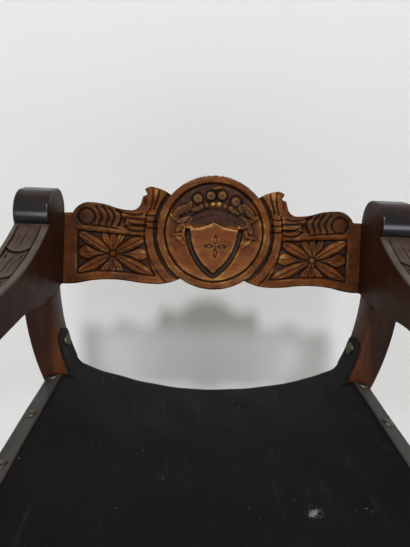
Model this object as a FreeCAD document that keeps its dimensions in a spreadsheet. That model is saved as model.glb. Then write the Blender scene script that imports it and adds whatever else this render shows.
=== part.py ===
import FreeCAD, Part
import math
import os
import Sketcher

# Folding cross-legged armchair with a slung leather seat and a carved back rail.
# Millimetres and degrees. +X to the sitter's left as seen from the front, the
# chair faces -Y, +Z up. The origin is on the floor, under the middle of the chair.

SIZES = {
    # whole chair
    "arm_gap": 520.0,            # between the inner faces of the two arms
    "arm_width": 54.0,
    "arm_under": 625.0,          # floor to the underside of the arms at the back
    "back_face": 224.8,          # rear faces of the rear legs
    "frame_depth": 472.0,        # front faces of the front legs to those rear faces
    "back_lean": 14.3,           # recline of the posts and of the back rail
    "fit_gap": 0.3,              # between pieces that move past each other
    # crossing legs, seen from the front
    "leg_width": 45.0,
    "leg_depth": 60.0,
    "leg_lean": 62.0,            # from upright, at the crossing
    "leg_knee_lean": 24.0,       # where the knee curve meets the long upper curve
    "leg_foot_lean": 20.0,       # where the leg meets the runner
    "leg_upper_radius": 450.0,
    "leg_knee_radius": 200.0,
    "leg_lower_radius": 200.0,
    "halving_radius": 54.0,
    "tenon_width": 24.0,
    "tenon_depth": 36.0,
    "tenon_length": 30.0,
    # arms with their posts, seen from the side
    "post_height": 165.0,
    "post_corner": 25.0,
    "roll_radius": 37.0,
    "roll_set": 29.0,            # roll centre in front of the rear leg faces
    "roll_end_lean": 22.0,
    "rest_start": 76.0,
    "rest_crest": 109.0,
    "rest_level_start": 261.0,
    "rest_level": 68.0,
    "arm_reach": 522.0,
    "front_roll_radius": 36.0,
    "front_rise": 13.0,
    "front_rise_start": 86.0,
    "front_rise_end": 203.0,
    # runners and feet
    "runner_top": 58.0,
    "runner_width": 56.0,
    "runner_overhang": 45.0,
    "runner_nose": 13.0,
    "runner_cove": 16.0,
    "foot_height": 16.0,
    "foot_length": 96.0,
    "foot_width": 52.0,
    "foot_bevel": 4.0,
    "runner_mortise": 26.0,
    # pivot, with its turned stretcher and bosses
    "journal_radius": 8.0,
    "journal_clearance": 0.05,
    "stretcher_radius": 11.0,
    "stretcher_bead": 17.0,
    "bead_length": 18.0,
    "rosette_radius": 40.0,
    "rosette_rim": 8.0,
    "rosette_height": 12.0,
    "rosette_button": 11.0,
    "petal_count": 8.0,
    "petal_height": 3.5,
    "rear_cap_radius": 24.0,
    "rear_cap_height": 9.0,
    # seat rails, leather and nails
    "seat_turn": 19.3,           # place of the seat rail along the upper leg curve
    "seat_rail_width": 34.0,
    "seat_rail_height": 38.0,
    "seat_rail_round": 3.0,
    "leather": 2.6,
    "band_width": 30.0,
    "band_thick": 2.6,
    "band_short": 3.0,
    "seat_sag": 50.0,
    "seat_radius": 590.0,
    "nail_corners": 16.0,
    "tack_radius": 7.0,
    "tack_height": 3.6,
    "tab_nail_radius": 11.0,
    "tab_nail_height": 4.2,
    "tab_nail_turn": 13.0,
    "tab_tip_turn": 2.8,
    "tab_foot_turn": 1.0,
    "tab_round": 16.0,
    "tab_nail_set": 24.0,
    # back rail
    "rail_thick": 24.0,
    "rail_height": 123.5,
    "rail_lap": 40.0,            # beyond the inner face of each post
    "medal_radius": 100.0,
    "medal_height": 98.0,
    "medal_rise": 4.0,
    "medal_ring": 13.0,
    "medal_sink": 5.0,
    "shield_half": 42.0,
    "shield_top": 106.0,
    "shield_tip": 26.0,
    "shield_rise": 3.5,
    "shield_border": 6.0,
    "shield_sink": 1.6,
    "panel_sink": 5.0,
    "panel_mid": 56.0,
    "flower_button": 8.0,
    "petal_turn": 32.0,
    "petal_long": 57.0,
    "petal_side": 36.0,
    "petal_up": 30.0,
    "charge_reach": 20.0,
    "flower_rise": 3.6,
    "stud_radius": 4.0,
    "stud_height": 18.0,
    "stud_reach": 12.0,
    "stud_depth": 16.0,
    "notch_depth": 14.0,
    "notch_flare": 42.0,
    # one overrun for every cut that leaves a face
    "overrun": 8.0,
}

doc = FreeCAD.newDocument("folding_armchair")
sheet = doc.addObject("Spreadsheet::Sheet", "Sizes")
for row, (word, number) in enumerate(SIZES.items(), start=1):
    sheet.set("A%d" % row, word)
    sheet.set("B%d" % row, repr(number))
    sheet.setAlias("B%d" % row, word)
doc.recompute()


class Size:
    """A number together with the sheet expression that gives it."""

    def __init__(self, value, text):
        self.value = value
        self.text = text

    def __add__(self, other):
        other = size(other)
        return Size(self.value + other.value, "(%s + %s)" % (self.text, other.text))

    def __radd__(self, other):
        return size(other) + self

    def __sub__(self, other):
        other = size(other)
        return Size(self.value - other.value, "(%s - %s)" % (self.text, other.text))

    def __rsub__(self, other):
        return size(other) - self

    def __mul__(self, other):
        other = size(other)
        return Size(self.value * other.value, "%s * %s" % (self.text, other.text))

    def __rmul__(self, other):
        return size(other) * self

    def __truediv__(self, other):
        other = size(other)
        return Size(self.value / other.value, "%s / (%s)" % (self.text, other.text))

    def __neg__(self):
        return Size(-self.value, "(0 - %s)" % self.text)


def size(thing):
    if isinstance(thing, Size):
        return thing
    text = repr(float(thing))
    return Size(float(thing), text if thing >= 0 else "(%s)" % text)


def sin(angle):
    return Size(math.sin(math.radians(angle.value)), "sin(%s)" % angle.text)


def cos(angle):
    return Size(math.cos(math.radians(angle.value)), "cos(%s)" % angle.text)


def tan(angle):
    return Size(math.tan(math.radians(angle.value)), "tan(%s)" % angle.text)


def root(area):
    return Size(math.sqrt(area.value), "sqrt(%s)" % area.text)


S = {word: Size(number, "Sizes." + word) for word, number in SIZES.items()}


def new_body(name):
    body = doc.addObject("PartDesign::Body", name)
    body.Label = name
    return body


def origin_plane(body, role):
    return [o for o in body.Origin.OriginFeatures if o.Role == role][0]


def new_sketch(body, name, role, offset=None):
    """A sketch on one of the body's own planes, moved along the plane's normal."""
    sketch = body.newObject("Sketcher::SketchObject", name)
    sketch.AttachmentSupport = (origin_plane(body, role), [""])
    sketch.MapMode = "FlatFace"
    if offset is not None:
        sketch.AttachmentOffset = FreeCAD.Placement(
            FreeCAD.Vector(0, 0, offset.value), FreeCAD.Rotation())
        sketch.setExpression("AttachmentOffset.Base.z", offset.text)
    return sketch


def pin(sketch, geo, pos, point):
    """Hold one end of a sketch line or arc at a point given by two sizes."""
    for kind, value in zip(("DistanceX", "DistanceY"), point):
        value = size(value)
        index = sketch.addConstraint(
            Sketcher.Constraint(kind, -1, 1, geo, pos, value.value))
        sketch.setExpression("Constraints[%d]" % index, value.text)


def outline(sketch, start, steps):
    """A closed outline of lines and arcs, each point and radius bound to the sheet.

    A step is a point, or a point with a radius and a turn: +1 for an arc that
    runs anticlockwise, -1 for one that runs clockwise.
    """
    up = FreeCAD.Vector(0, 0, 1)
    begin = tuple(size(v) for v in start)
    here = begin
    ends = []
    for step in steps:
        there = tuple(size(v) for v in step[:2])
        a = FreeCAD.Vector(here[0].value, here[1].value, 0)
        b = FreeCAD.Vector(there[0].value, there[1].value, 0)
        if len(step) == 2:
            geo = sketch.addGeometry(Part.LineSegment(a, b), False)
            ends.append((geo, 1, 2))
            pin(sketch, geo, 1, here)
        else:
            radius, turn = size(step[2]), step[3]
            chord = b.sub(a)
            half = chord.Length / 2
            reach = math.sqrt(max(radius.value ** 2 - half ** 2, 0.0))
            side = FreeCAD.Vector(-chord.y, chord.x, 0).normalize() * (turn * reach)
            centre = a.add(chord * 0.5).add(side)
            first, last = (a, b) if turn > 0 else (b, a)
            angles = [math.atan2(p.y - centre.y, p.x - centre.x) for p in (first, last)]
            if angles[1] <= angles[0]:
                angles[1] += 2 * math.pi
            geo = sketch.addGeometry(Part.ArcOfCircle(
                Part.Circle(centre, up, radius.value), angles[0], angles[1]), False)
            ends.append((geo, 1, 2) if turn > 0 else (geo, 2, 1))
            pin(sketch, geo, ends[-1][1], here)
            index = sketch.addConstraint(Sketcher.Constraint("Radius", geo, radius.value))
            sketch.setExpression("Constraints[%d]" % index, radius.text)
        here = there
    for (geo, _, end), (after, begin_pos, _) in zip(ends, ends[1:] + ends[:1]):
        sketch.addConstraint(Sketcher.Constraint("Coincident", geo, end, after, begin_pos))


def rectangle(sketch, left, right, low, high):
    outline(sketch, (left, low), [(right, low), (right, high), (left, high), (left, low)])


def circle(sketch, centre, radius):
    centre = tuple(size(v) for v in centre)
    geo = sketch.addGeometry(Part.Circle(
        FreeCAD.Vector(centre[0].value, centre[1].value, 0),
        FreeCAD.Vector(0, 0, 1), radius.value), False)
    pin(sketch, geo, 3, centre)
    index = sketch.addConstraint(Sketcher.Constraint("Radius", geo, radius.value))
    sketch.setExpression("Constraints[%d]" % index, radius.text)


def feature(body, kind, name, sketch, length, reversed_=False):
    item = body.newObject("PartDesign::" + kind, name)
    item.Profile = sketch
    item.Length = length.value
    item.setExpression("Length", length.text)
    item.Reversed = reversed_
    body.Tip = item
    return item


def pad(body, name, sketch, length, reversed_=False):
    return feature(body, "Pad", name, sketch, length, reversed_)


def pocket(body, name, sketch, length, reversed_=False):
    """A cut, checked to have taken something away."""
    doc.recompute()
    before = body.Shape.Volume
    item = feature(body, "Pocket", name, sketch, length, reversed_)
    doc.recompute()
    if body.Shape.Volume > before * (1 - 1e-7):
        raise RuntimeError("%s cuts nothing" % name)
    return item


def spin(body, name, sketch, kind="Revolution", axis="V_Axis"):
    item = body.newObject("PartDesign::" + kind, name)
    item.Profile = sketch
    item.ReferenceAxis = (sketch, [axis])
    item.Angle = 360
    body.Tip = item
    return item


def soften(body, name, radius, picked, kind="Fillet"):
    """Round or bevel the edges that the test picks."""
    doc.recompute()
    base = body.Tip
    edges = ["Edge%d" % (i + 1) for i, e in enumerate(base.Shape.Edges) if picked(e)]
    if not edges:
        raise RuntimeError("%s finds no edge" % name)
    item = body.newObject("PartDesign::" + kind, name)
    item.Base = (base, edges)
    prop = "Radius" if kind == "Fillet" else "Size"
    setattr(item, prop, radius.value)
    item.setExpression(prop, radius.text)
    body.Tip = item
    return item


def place(body, x=0, y=0, z=0, axis=None, angle=None):
    spot = [size(v) for v in (x, y, z)]
    turn = FreeCAD.Rotation()
    if axis is not None:
        turn = FreeCAD.Rotation(FreeCAD.Vector(*axis), angle.value)
    body.Placement = FreeCAD.Placement(FreeCAD.Vector(*[v.value for v in spot]), turn)
    for word, value in zip("xyz", spot):
        body.setExpression("Placement.Base." + word, value.text)
    if axis is not None:
        body.setExpression("Placement.Rotation.Angle", angle.text)


# Shares of other sizes, and the two plain angles.
STUD_SHARE = 0.7                 # of the lap of the back rail on a post
TACK_SHARE = 0.318               # of the seat rail, from tack to tack
SLING_SHARE = 0.78               # of the gap between the arms, in one curve
FLOWER_SHARE = 0.587             # of the half length of the back rail
BEVEL_SHARE = 0.62               # of the height of a nail head
square, half_turn = size(90), size(180)

# Shared places. Left is -X, right is +X.
half_gap = S["arm_gap"] / 2
half_leg = S["leg_width"] / 2
half_arm = S["arm_width"] / 2
leg_top = half_gap + half_arm
rail_half = half_gap + S["rail_lap"]
stud_x = half_gap + S["rail_lap"] * STUD_SHARE
front_face = S["back_face"] - S["frame_depth"]
rear_leg_front = S["back_face"] - S["leg_depth"]
front_leg_rear = front_face + S["leg_depth"]
leg_y = {"front": front_face, "rear": rear_leg_front}
lean, knee, ankle = S["leg_lean"], S["leg_knee_lean"], S["leg_foot_lean"]
upper, bend, lower = S["leg_upper_radius"], S["leg_knee_radius"], S["leg_lower_radius"]

# The centre line of a right-hand leg, up and out from the crossing: a straight
# part, the knee curve and the long upper curve. The lower half curves the other way.
straight_up = (leg_top - bend * (cos(knee) - cos(lean))
               - upper * (1 - cos(knee))) / sin(lean)
pivot_z = (S["arm_under"] - upper * sin(knee) - bend * (sin(lean) - sin(knee))
           - straight_up * cos(lean))
straight_down = (pivot_z - S["runner_top"] - lower * (sin(lean) - sin(ankle))) / cos(lean)
foot_x = straight_down * sin(lean) + lower * (cos(ankle) - cos(lean))


def leg_point(distance, offset):
    """A point beside the straight part, from the crossing, offset to its lower side."""
    return (distance * sin(lean) + offset * cos(lean),
            pivot_z + distance * cos(lean) - offset * sin(lean))


def upper_point(turn, offset):
    """A point on the long upper curve, where it still leans by the angle turn."""
    reach = upper + offset
    return (leg_top - upper + reach * cos(turn),
            S["arm_under"] - reach * sin(turn))


def foot_point(offset):
    """Where a side of the lower curve reaches the top of the runner."""
    reach = lower - offset
    middle = pivot_z - straight_down * cos(lean) - lower * sin(lean)
    drop = S["runner_top"] - middle
    middle_x = straight_down * sin(lean) - lower * cos(lean)
    return (-(middle_x + root(reach * reach - drop * drop)), S["runner_top"])


def flip(point, side):
    """Mirror an outline point for the left-hand side."""
    return point if side > 0 else (-point[0], point[1])


def build_leg(name, side, end, keep_front):
    """One S-curved leg: its top is on the given side, its foot on the other."""
    body = new_body(name)
    rear = leg_y[end] + S["leg_depth"]
    top_z = S["arm_under"] + (S["front_rise"] if end == "front" else size(0))
    sketch = new_sketch(body, name + "_curve", "XZ_Plane", -rear)
    low, high = half_leg, -half_leg
    route = [
        (*upper_point(knee, low), upper + low, -1),
        (*leg_point(straight_up, low), bend + low, -1),
        leg_point(-straight_down, low),
        (*foot_point(low), lower - low, 1),
        foot_point(high),
        (*leg_point(-straight_down, high), lower - high, -1),
        leg_point(straight_up, high),
        (*upper_point(knee, high), bend + high, 1),
        (leg_top + high, S["arm_under"], upper + high, 1),
    ]
    if end == "front":
        route.append((leg_top + high, top_z))
        route.append((leg_top + low, top_z))
    route.append((leg_top + low, S["arm_under"]))
    steps = []
    for step in route:
        point = flip(step[:2], side)
        steps.append(point if len(step) == 2 else (*point, step[2], step[3] * side))
    outline(sketch, flip((leg_top + low, S["arm_under"]), side), steps)
    pad(body, name + "_body", sketch, S["leg_depth"])
    half = (S["leg_depth"] - S["fit_gap"]) / 2
    cut_plane = rear if keep_front else leg_y[end]
    sketch = new_sketch(body, name + "_halving", "XZ_Plane", -cut_plane)
    circle(sketch, (0, pivot_z), S["halving_radius"])
    pocket(body, name + "_halved", sketch, S["leg_depth"] - half, keep_front)
    sketch = new_sketch(body, name + "_bore", "XZ_Plane", -rear)
    circle(sketch, (0, pivot_z), S["journal_radius"] + S["journal_clearance"])
    pocket(body, name + "_bored", sketch, S["leg_depth"] + S["overrun"], True)
    middle = leg_y[end] + S["leg_depth"] / 2
    deep, wide = S["tenon_depth"] / 2, S["tenon_width"] / 2
    sketch = new_sketch(body, name + "_tenon", "XY_Plane", top_z)
    x = side * leg_top
    rectangle(sketch, x - wide, x + wide, middle - deep, middle + deep)
    pad(body, name + "_top", sketch, S["arm_under"] + S["tenon_length"] - top_z)
    sketch = new_sketch(body, name + "_toe", "XY_Plane", S["runner_top"])
    x = -side * foot_x
    rectangle(sketch, x - wide, x + wide, middle - deep, middle + deep)
    pad(body, name + "_foot", sketch, S["runner_mortise"], True)
    return body


def mortises(body, name, x, plane, depth, upwards):
    """Two sockets for the tenons of the front and rear legs."""
    deep, wide = S["tenon_depth"] / 2, S["tenon_width"] / 2
    sketch = new_sketch(body, name, "XY_Plane", plane)
    for y in leg_y.values():
        middle = y + S["leg_depth"] / 2
        rectangle(sketch, x - wide, x + wide, middle - deep, middle + deep)
    pocket(body, name + "_cut", sketch, depth, upwards)


def build_arm(name, side):
    """An arm with its post: rolled over at the top of the post and at the front."""
    back, floor = S["back_face"], S["arm_under"]
    body = new_body(name)
    inner = half_gap if side > 0 else -half_gap - S["arm_width"]
    sketch = new_sketch(body, name + "_side", "YZ_Plane", inner)
    slope = (S["post_height"] - S["post_corner"] * (1 + sin(S["back_lean"]))) \
        / cos(S["back_lean"])
    corner_y = slope * sin(S["back_lean"]) - S["post_corner"] * cos(S["back_lean"])
    roll, nose = S["roll_radius"], S["front_roll_radius"]
    roll_z = S["post_height"] - roll
    nose_y = nose - S["arm_reach"]
    nose_z = S["front_rise"] + nose
    drop = S["rest_crest"] - S["rest_level"]
    run = S["rest_level_start"] - S["rest_start"]
    rise_half = S["front_rise"] / 2
    run_half = (S["front_rise_end"] - S["front_rise_start"]) / 2
    ease = (run_half * run_half + rise_half * rise_half) / (2 * rise_half)
    crease = root(nose * nose - (S["rest_level"] - nose_z) * (S["rest_level"] - nose_z))

    def at(y, z):
        return (back + y, floor + z)

    route = [
        at(slope * sin(S["back_lean"]), slope * cos(S["back_lean"])),
        (*at(corner_y, S["post_height"]), S["post_corner"], 1),
        at(-S["roll_set"], S["post_height"]),
        (*at(-S["roll_set"] - roll, roll_z), roll, 1),
        (*at(-S["roll_set"] - roll * cos(S["roll_end_lean"]),
             roll_z - roll * sin(S["roll_end_lean"])), roll, 1),
        at(-S["rest_start"], S["rest_crest"]),
        (*at(-S["rest_level_start"], S["rest_level"]),
         (run * run + drop * drop) / (2 * drop), -1),
        at(nose_y + crease, S["rest_level"]),
        (*at(nose_y, nose_z + nose), nose, 1),
        (*at(nose_y - nose, nose_z), nose, 1),
        (*at(nose_y, nose_z - nose), nose, 1),
        at(-S["front_rise_end"], S["front_rise"]),
        (*at(-S["front_rise_start"] - run_half, rise_half), ease, -1),
        (*at(-S["front_rise_start"], 0), ease, 1),
        at(0, 0),
    ]
    outline(sketch, at(0, 0), route)
    pad(body, name + "_body", sketch, S["arm_width"])
    mortises(body, name + "_mortises", side * leg_top, floor,
             S["tenon_length"], True)
    # The socket of the stud that carries the back rail, square to the leaning face.
    sketch = new_sketch(body, name + "_stud_line", "YZ_Plane", side * stud_x)
    base = S["stud_height"]
    lean_sin, lean_cos = sin(S["back_lean"]), cos(S["back_lean"])

    def leaning(along, out):
        return at(along * lean_sin + out * lean_cos, along * lean_cos - out * lean_sin)

    outline(sketch, leaning(base, -S["stud_depth"]), [
        leaning(base, S["overrun"]),
        leaning(base + S["stud_radius"], S["overrun"]),
        leaning(base + S["stud_radius"], -S["stud_depth"]),
        leaning(base, -S["stud_depth"])])
    ends = [leaning(base, -S["stud_depth"]), leaning(base, S["overrun"])]
    line = sketch.addGeometry(Part.LineSegment(
        *[FreeCAD.Vector(e[0].value, e[1].value, 0) for e in ends]), True)
    pin(sketch, line, 1, ends[0])
    pin(sketch, line, 2, ends[1])
    doc.recompute()
    before = body.Shape.Volume
    spin(body, name + "_stud_socket", sketch, "Groove", "Axis0")
    doc.recompute()
    if body.Shape.Volume > before * (1 - 1e-7):
        raise RuntimeError("%s stud socket cuts nothing" % name)
    return body


def build_stud(name, side):
    """A steel stud in the back of a post."""
    body = new_body(name)
    sketch = new_sketch(body, name + "_round", "XY_Plane")
    circle(sketch, (0, 0), S["stud_radius"])
    pad(body, name + "_body", sketch, S["stud_depth"] + S["stud_reach"])
    along, inward = S["stud_height"], S["stud_depth"]
    lean_sin, lean_cos = sin(S["back_lean"]), cos(S["back_lean"])
    place(body, side * stud_x,
          S["back_face"] + along * lean_sin - inward * lean_cos,
          S["arm_under"] + along * lean_cos + inward * lean_sin,
          (-1, 0, 0), square + S["back_lean"])
    return body


def build_runner(name, side):
    """A floor runner with a cove and a nose at each end."""
    body = new_body(name)
    wide = S["runner_width"]
    middle = side * foot_x
    sketch = new_sketch(body, name + "_side", "YZ_Plane", middle - wide / 2)
    nose, cove = S["runner_nose"], S["runner_cove"]
    low, high = S["foot_height"], S["runner_top"]
    front = front_face - S["runner_overhang"]
    back = S["back_face"] + S["runner_overhang"]
    step = (high - low - 2 * nose)
    outline(sketch, (front + nose, low), [
        (back - nose, low),
        (back, low + nose, nose, 1),
        (back - nose, low + 2 * nose, nose, 1),
        (back - nose - cove, high, root((cove * cove + step * step) / 2), -1),
        (front + nose + cove, high),
        (front + nose, low + 2 * nose, root((cove * cove + step * step) / 2), -1),
        (front, low + nose, nose, 1),
        (front + nose, low, nose, 1)])
    pad(body, name + "_body", sketch, wide)
    mortises(body, name + "_mortises", middle, high, S["runner_mortise"], False)
    return body


def build_foot(name, side, end):
    """A bevelled block under a runner, below each leg."""
    body = new_body(name)
    middle = leg_y[end] + S["leg_depth"] / 2
    sketch = new_sketch(body, name + "_plan", "XY_Plane")
    long, wide = S["foot_length"] / 2, S["foot_width"] / 2
    rectangle(sketch, -wide, wide, -long, long)
    pad(body, name + "_body", sketch, S["foot_height"])
    soften(body, name + "_bevel", S["foot_bevel"],
           lambda e: e.BoundBox.ZMax < 1e-6, "Chamfer")
    place(body, side * foot_x, middle, 0)
    return body


def seat_spot(side, height):
    """A point on the seat rail's middle line, at a height above its top face."""
    x, z = upper_point(S["seat_turn"], size(0))
    return (side * (x + height * sin(S["seat_turn"])), z + height * cos(S["seat_turn"]))


def on_seat(body, side, y, height=0):
    x, z = seat_spot(side, size(height))
    place(body, x, y, z, (0, side, 0), S["seat_turn"])


def build_seat_rail(name, side):
    body = new_body(name)
    sketch = new_sketch(body, name + "_end", "XZ_Plane")
    half = S["seat_rail_width"] / 2
    rectangle(sketch, -half, half, -S["seat_rail_height"], 0)
    pad(body, name + "_body", sketch, rear_leg_front - front_leg_rear)
    soften(body, name + "_round", S["seat_rail_round"],
           lambda e: e.BoundBox.YLength > e.BoundBox.XLength + e.BoundBox.ZLength
           and e.BoundBox.ZMin > -1e-6)
    on_seat(body, side, rear_leg_front)
    return body


def build_band(name, side):
    """The leather strip that holds the edge of the seat down."""
    body = new_body(name)
    sketch = new_sketch(body, name + "_end", "XZ_Plane")
    half = S["band_width"] / 2
    rectangle(sketch, -half, half, 0, S["band_thick"])
    length = rear_leg_front - front_leg_rear - 2 * S["band_short"]
    pad(body, name + "_body", sketch, length)
    on_seat(body, side, rear_leg_front - S["band_short"], S["leather"] + 2 * S["fit_gap"])
    return body


def many_sided(sketch, radius):
    """A regular outline with as many corners as a nail head has."""
    corners = int(S["nail_corners"].value)
    points = [(radius * cos(half_turn * 2 * n / corners),
               radius * sin(half_turn * 2 * n / corners)) for n in range(corners)]
    outline(sketch, points[0], points[1:] + points[:1])


def nail_head(body, name, radius, height):
    """A faceted nail head: a short upright rim, then a bevel up to a flat top."""
    sketch = new_sketch(body, name + "_plan", "XY_Plane")
    many_sided(sketch, radius)
    pad(body, name + "_head", sketch, height)
    soften(body, name + "_bevel", BEVEL_SHARE * height,
           lambda e: e.BoundBox.ZMin > height.value / 2, "Chamfer")


def build_tack(name, side, number):
    body = new_body(name)
    nail_head(body, name, S["tack_radius"], S["tack_height"])
    middle = (rear_leg_front + front_leg_rear) / 2
    y = middle + (1.5 - number) * TACK_SHARE * (rear_leg_front - front_leg_rear)
    on_seat(body, side, y, S["leather"] + 2 * S["fit_gap"] + S["band_thick"])
    return body


def tab_y(end):
    """The middle of a leather tab, from front to back."""
    if end == "rear":
        return S["back_face"] - S["tab_nail_set"]
    return front_face + S["tab_nail_set"]


def build_tab_nail(name, side, end):
    """The larger round nail through a leather tab into the leg's inner face."""
    body = new_body(name)
    nail_head(body, name, S["tab_nail_radius"], S["tab_nail_height"])
    inset = -half_leg - S["fit_gap"] - S["leather"] - S["fit_gap"]
    x, z = upper_point(S["tab_nail_turn"], inset)
    place(body, side * x, tab_y(end), z, (0, -side, 0), square - S["tab_nail_turn"])
    return body


def build_leather():
    """The slung seat: one sheet, over both seat rails, with four corner tabs."""
    name = "seat_leather"
    body = new_body(name)
    thick, gap = S["leather"], S["fit_gap"]
    low_z = seat_spot(1, size(0))[1] - S["seat_sag"]
    bend_in = S["seat_radius"]
    # Where the hanging curve meets the line from the seat rail's inner corner.
    half = S["seat_rail_width"] / 2
    turn_sin, turn_cos = sin(S["seat_turn"]), cos(S["seat_turn"])
    lip = upper_point(S["seat_turn"], -half)
    lip_low = (lip[0] + gap * turn_sin, lip[1] + gap * turn_cos)
    lip_high = (lip[0] + (gap + thick) * turn_sin, lip[1] + (gap + thick) * turn_cos)
    edge = upper_point(S["seat_turn"], half - S["band_short"])
    edge_low = (edge[0] + gap * turn_sin, edge[1] + gap * turn_cos)
    edge_high = (edge[0] + (gap + thick) * turn_sin, edge[1] + (gap + thick) * turn_cos)
    swing = SLING_SHARE * half_gap
    fall = bend_in - root(bend_in * bend_in - swing * swing)
    outer_bend = bend_in + thick
    fall_low = outer_bend - root(outer_bend * outer_bend - swing * swing)
    sketch = new_sketch(body, name + "_sling", "XZ_Plane", -rear_leg_front + gap)
    outline(sketch, (-edge_high[0], edge_high[1]), [
        (-edge_low[0], edge_low[1]),
        (-lip_low[0], lip_low[1]),
        (-swing, low_z + fall_low - thick),
        (swing, low_z + fall_low - thick, outer_bend, 1),
        lip_low, edge_low, edge_high, lip_high,
        (swing, low_z + fall),
        (-swing, low_z + fall, bend_in, -1),
        (-lip_high[0], lip_high[1]),
        (-edge_high[0], edge_high[1])])
    pad(body, name + "_sheet", sketch, rear_leg_front - front_leg_rear - 2 * gap)
    # Between the legs the sheet goes on to the front and back, with its corners
    # drawn up the legs' inner faces as tabs.
    nail = S["tab_nail_turn"]
    tip = nail - S["tab_tip_turn"]
    inner = -half_leg - gap
    top_out = upper_point(tip, inner)
    top_in = upper_point(tip, inner - thick)
    foot_out = upper_point(S["seat_turn"] - S["tab_foot_turn"], inner)
    foot_in = upper_point(S["seat_turn"] - S["tab_foot_turn"], inner - thick)
    for end, plane in (("rear", S["back_face"]), ("front", front_leg_rear)):
        label = "_".join((name, end))
        sketch = new_sketch(body, label + "_end", "XZ_Plane", -plane + (
            size(0) if end == "rear" else -gap))
        outline(sketch, (-top_out[0], top_out[1]), [
            (-foot_out[0], foot_out[1], upper + inner, 1),
            (-swing, low_z + fall_low - thick),
            (swing, low_z + fall_low - thick, outer_bend, 1),
            foot_out,
            (*top_out, upper + inner, 1),
            top_in,
            (*foot_in, upper + inner - thick, -1),
            (swing, low_z + fall),
            (-swing, low_z + fall, bend_in, -1),
            (-foot_in[0], foot_in[1]),
            (-top_in[0], top_in[1], upper + inner - thick, -1),
            (-top_out[0], top_out[1])])
        pad(body, label + "_apron", sketch, S["leg_depth"] + gap)
    low_tip = top_in[1].value - thick.value
    soften(body, name + "_tabs", S["tab_round"], lambda e: e.BoundBox.ZMin > low_tip
           and e.BoundBox.YLength < 1e-6 and e.Length < 1.2 * thick.value)
    return body


def build_stretcher():
    """The rod between the two crossings, with a journal through each and a bead."""
    name = "pivot_stretcher"
    body = new_body(name)
    gap = S["fit_gap"]
    bead, rod, long = S["stretcher_bead"], S["stretcher_radius"], S["bead_length"]
    back, front = rear_leg_front - gap, front_leg_rear + gap
    sketch = new_sketch(body, name + "_journal", "XZ_Plane", -(front_face - gap))
    circle(sketch, (0, 0), S["journal_radius"])
    pad(body, name + "_through", sketch, S["frame_depth"] + 2 * gap, True)
    sketch = new_sketch(body, name + "_rod", "XZ_Plane", -front)
    many_sided(sketch, rod)
    pad(body, name + "_middle", sketch, back - front, True)
    for end, start in (("front", front), ("rear", back - long)):
        label = "_".join((name, end))
        sketch = new_sketch(body, label + "_bead", "XZ_Plane", -start)
        many_sided(sketch, bead)
        pad(body, label + "_collar", sketch, long, True)
        low, high = start.value - 1e-6, (start + long).value + 1e-6
        soften(body, label + "_bevel", BEVEL_SHARE * (bead - rod), lambda e:
               low < e.BoundBox.YMin and e.BoundBox.YMax < high
               and e.BoundBox.YLength < 1e-6 and reach_of(e) > (rod.value + bead.value) / 2,
               "Chamfer")
    place(body, 0, 0, pivot_z)
    return body


def reach_of(edge):
    """How far the nearest end of an edge is from the body's own Y axis."""
    return min(math.hypot(v.X, v.Z) for v in edge.Vertexes)


def petals(sketch, centre, inner, outer, half_width, angles):
    """Pointed petals, each between two arcs, around a centre."""
    run = (outer - inner) / 2
    bow = (run * run + half_width * half_width) / (2 * half_width)
    for angle in angles:
        c, s = cos(angle), sin(angle)
        first = (centre[0] + inner * c, centre[1] + inner * s)
        last = (centre[0] + outer * c, centre[1] + outer * s)
        outline(sketch, first, [(*last, bow, 1), (*first, bow, 1)])


def build_rosette():
    """The carved boss on the front crossing: a disc, cut petals and a button."""
    name = "front_rosette"
    body = new_body(name)
    radius, tall, rim = S["rosette_radius"], S["rosette_height"], S["rosette_rim"]
    button = S["rosette_button"]
    sketch = new_sketch(body, name + "_round", "XZ_Plane")
    circle(sketch, (0, 0), radius)
    pad(body, name + "_disc", sketch, tall)
    soften(body, name + "_rim", rim / 2, lambda e: e.BoundBox.YMax < -tall.value / 2, "Chamfer")
    sketch = new_sketch(body, name + "_middle", "XZ_Plane", tall)
    many_sided(sketch, button)
    pad(body, name + "_button", sketch, tall / 4)
    count = int(S["petal_count"].value)
    sketch = new_sketch(body, name + "_petal", "XZ_Plane", tall)
    inner, outer = 1.1 * button, radius - 1.1 * rim
    widest = (outer - inner) / 4
    outline(sketch, (inner, size(0)), [
        (outer - 1.2 * widest, -widest), (outer, size(0)),
        (outer - 1.2 * widest, widest), (inner, size(0))])
    cut = pocket(body, name + "_leaf", sketch, S["petal_height"])
    ring = body.newObject("PartDesign::PolarPattern", name + "_ring")
    ring.Originals = [cut]
    ring.Axis = (sketch, ["N_Axis"])
    ring.Angle = 360
    ring.Occurrences = count
    ring.setExpression("Occurrences", S["petal_count"].text)
    body.Tip = ring
    place(body, 0, front_face - S["fit_gap"], pivot_z)
    return body


def build_rear_cap():
    name = "rear_cap"
    body = new_body(name)
    tall = S["rear_cap_height"]
    sketch = new_sketch(body, name + "_plan", "XZ_Plane")
    many_sided(sketch, S["rear_cap_radius"])
    pad(body, name + "_block", sketch, tall, True)
    soften(body, name + "_bevel", BEVEL_SHARE * tall,
           lambda e: e.BoundBox.YMin > tall.value / 2, "Chamfer")
    place(body, 0, S["back_face"] + S["fit_gap"], pivot_z)
    return body


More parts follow.
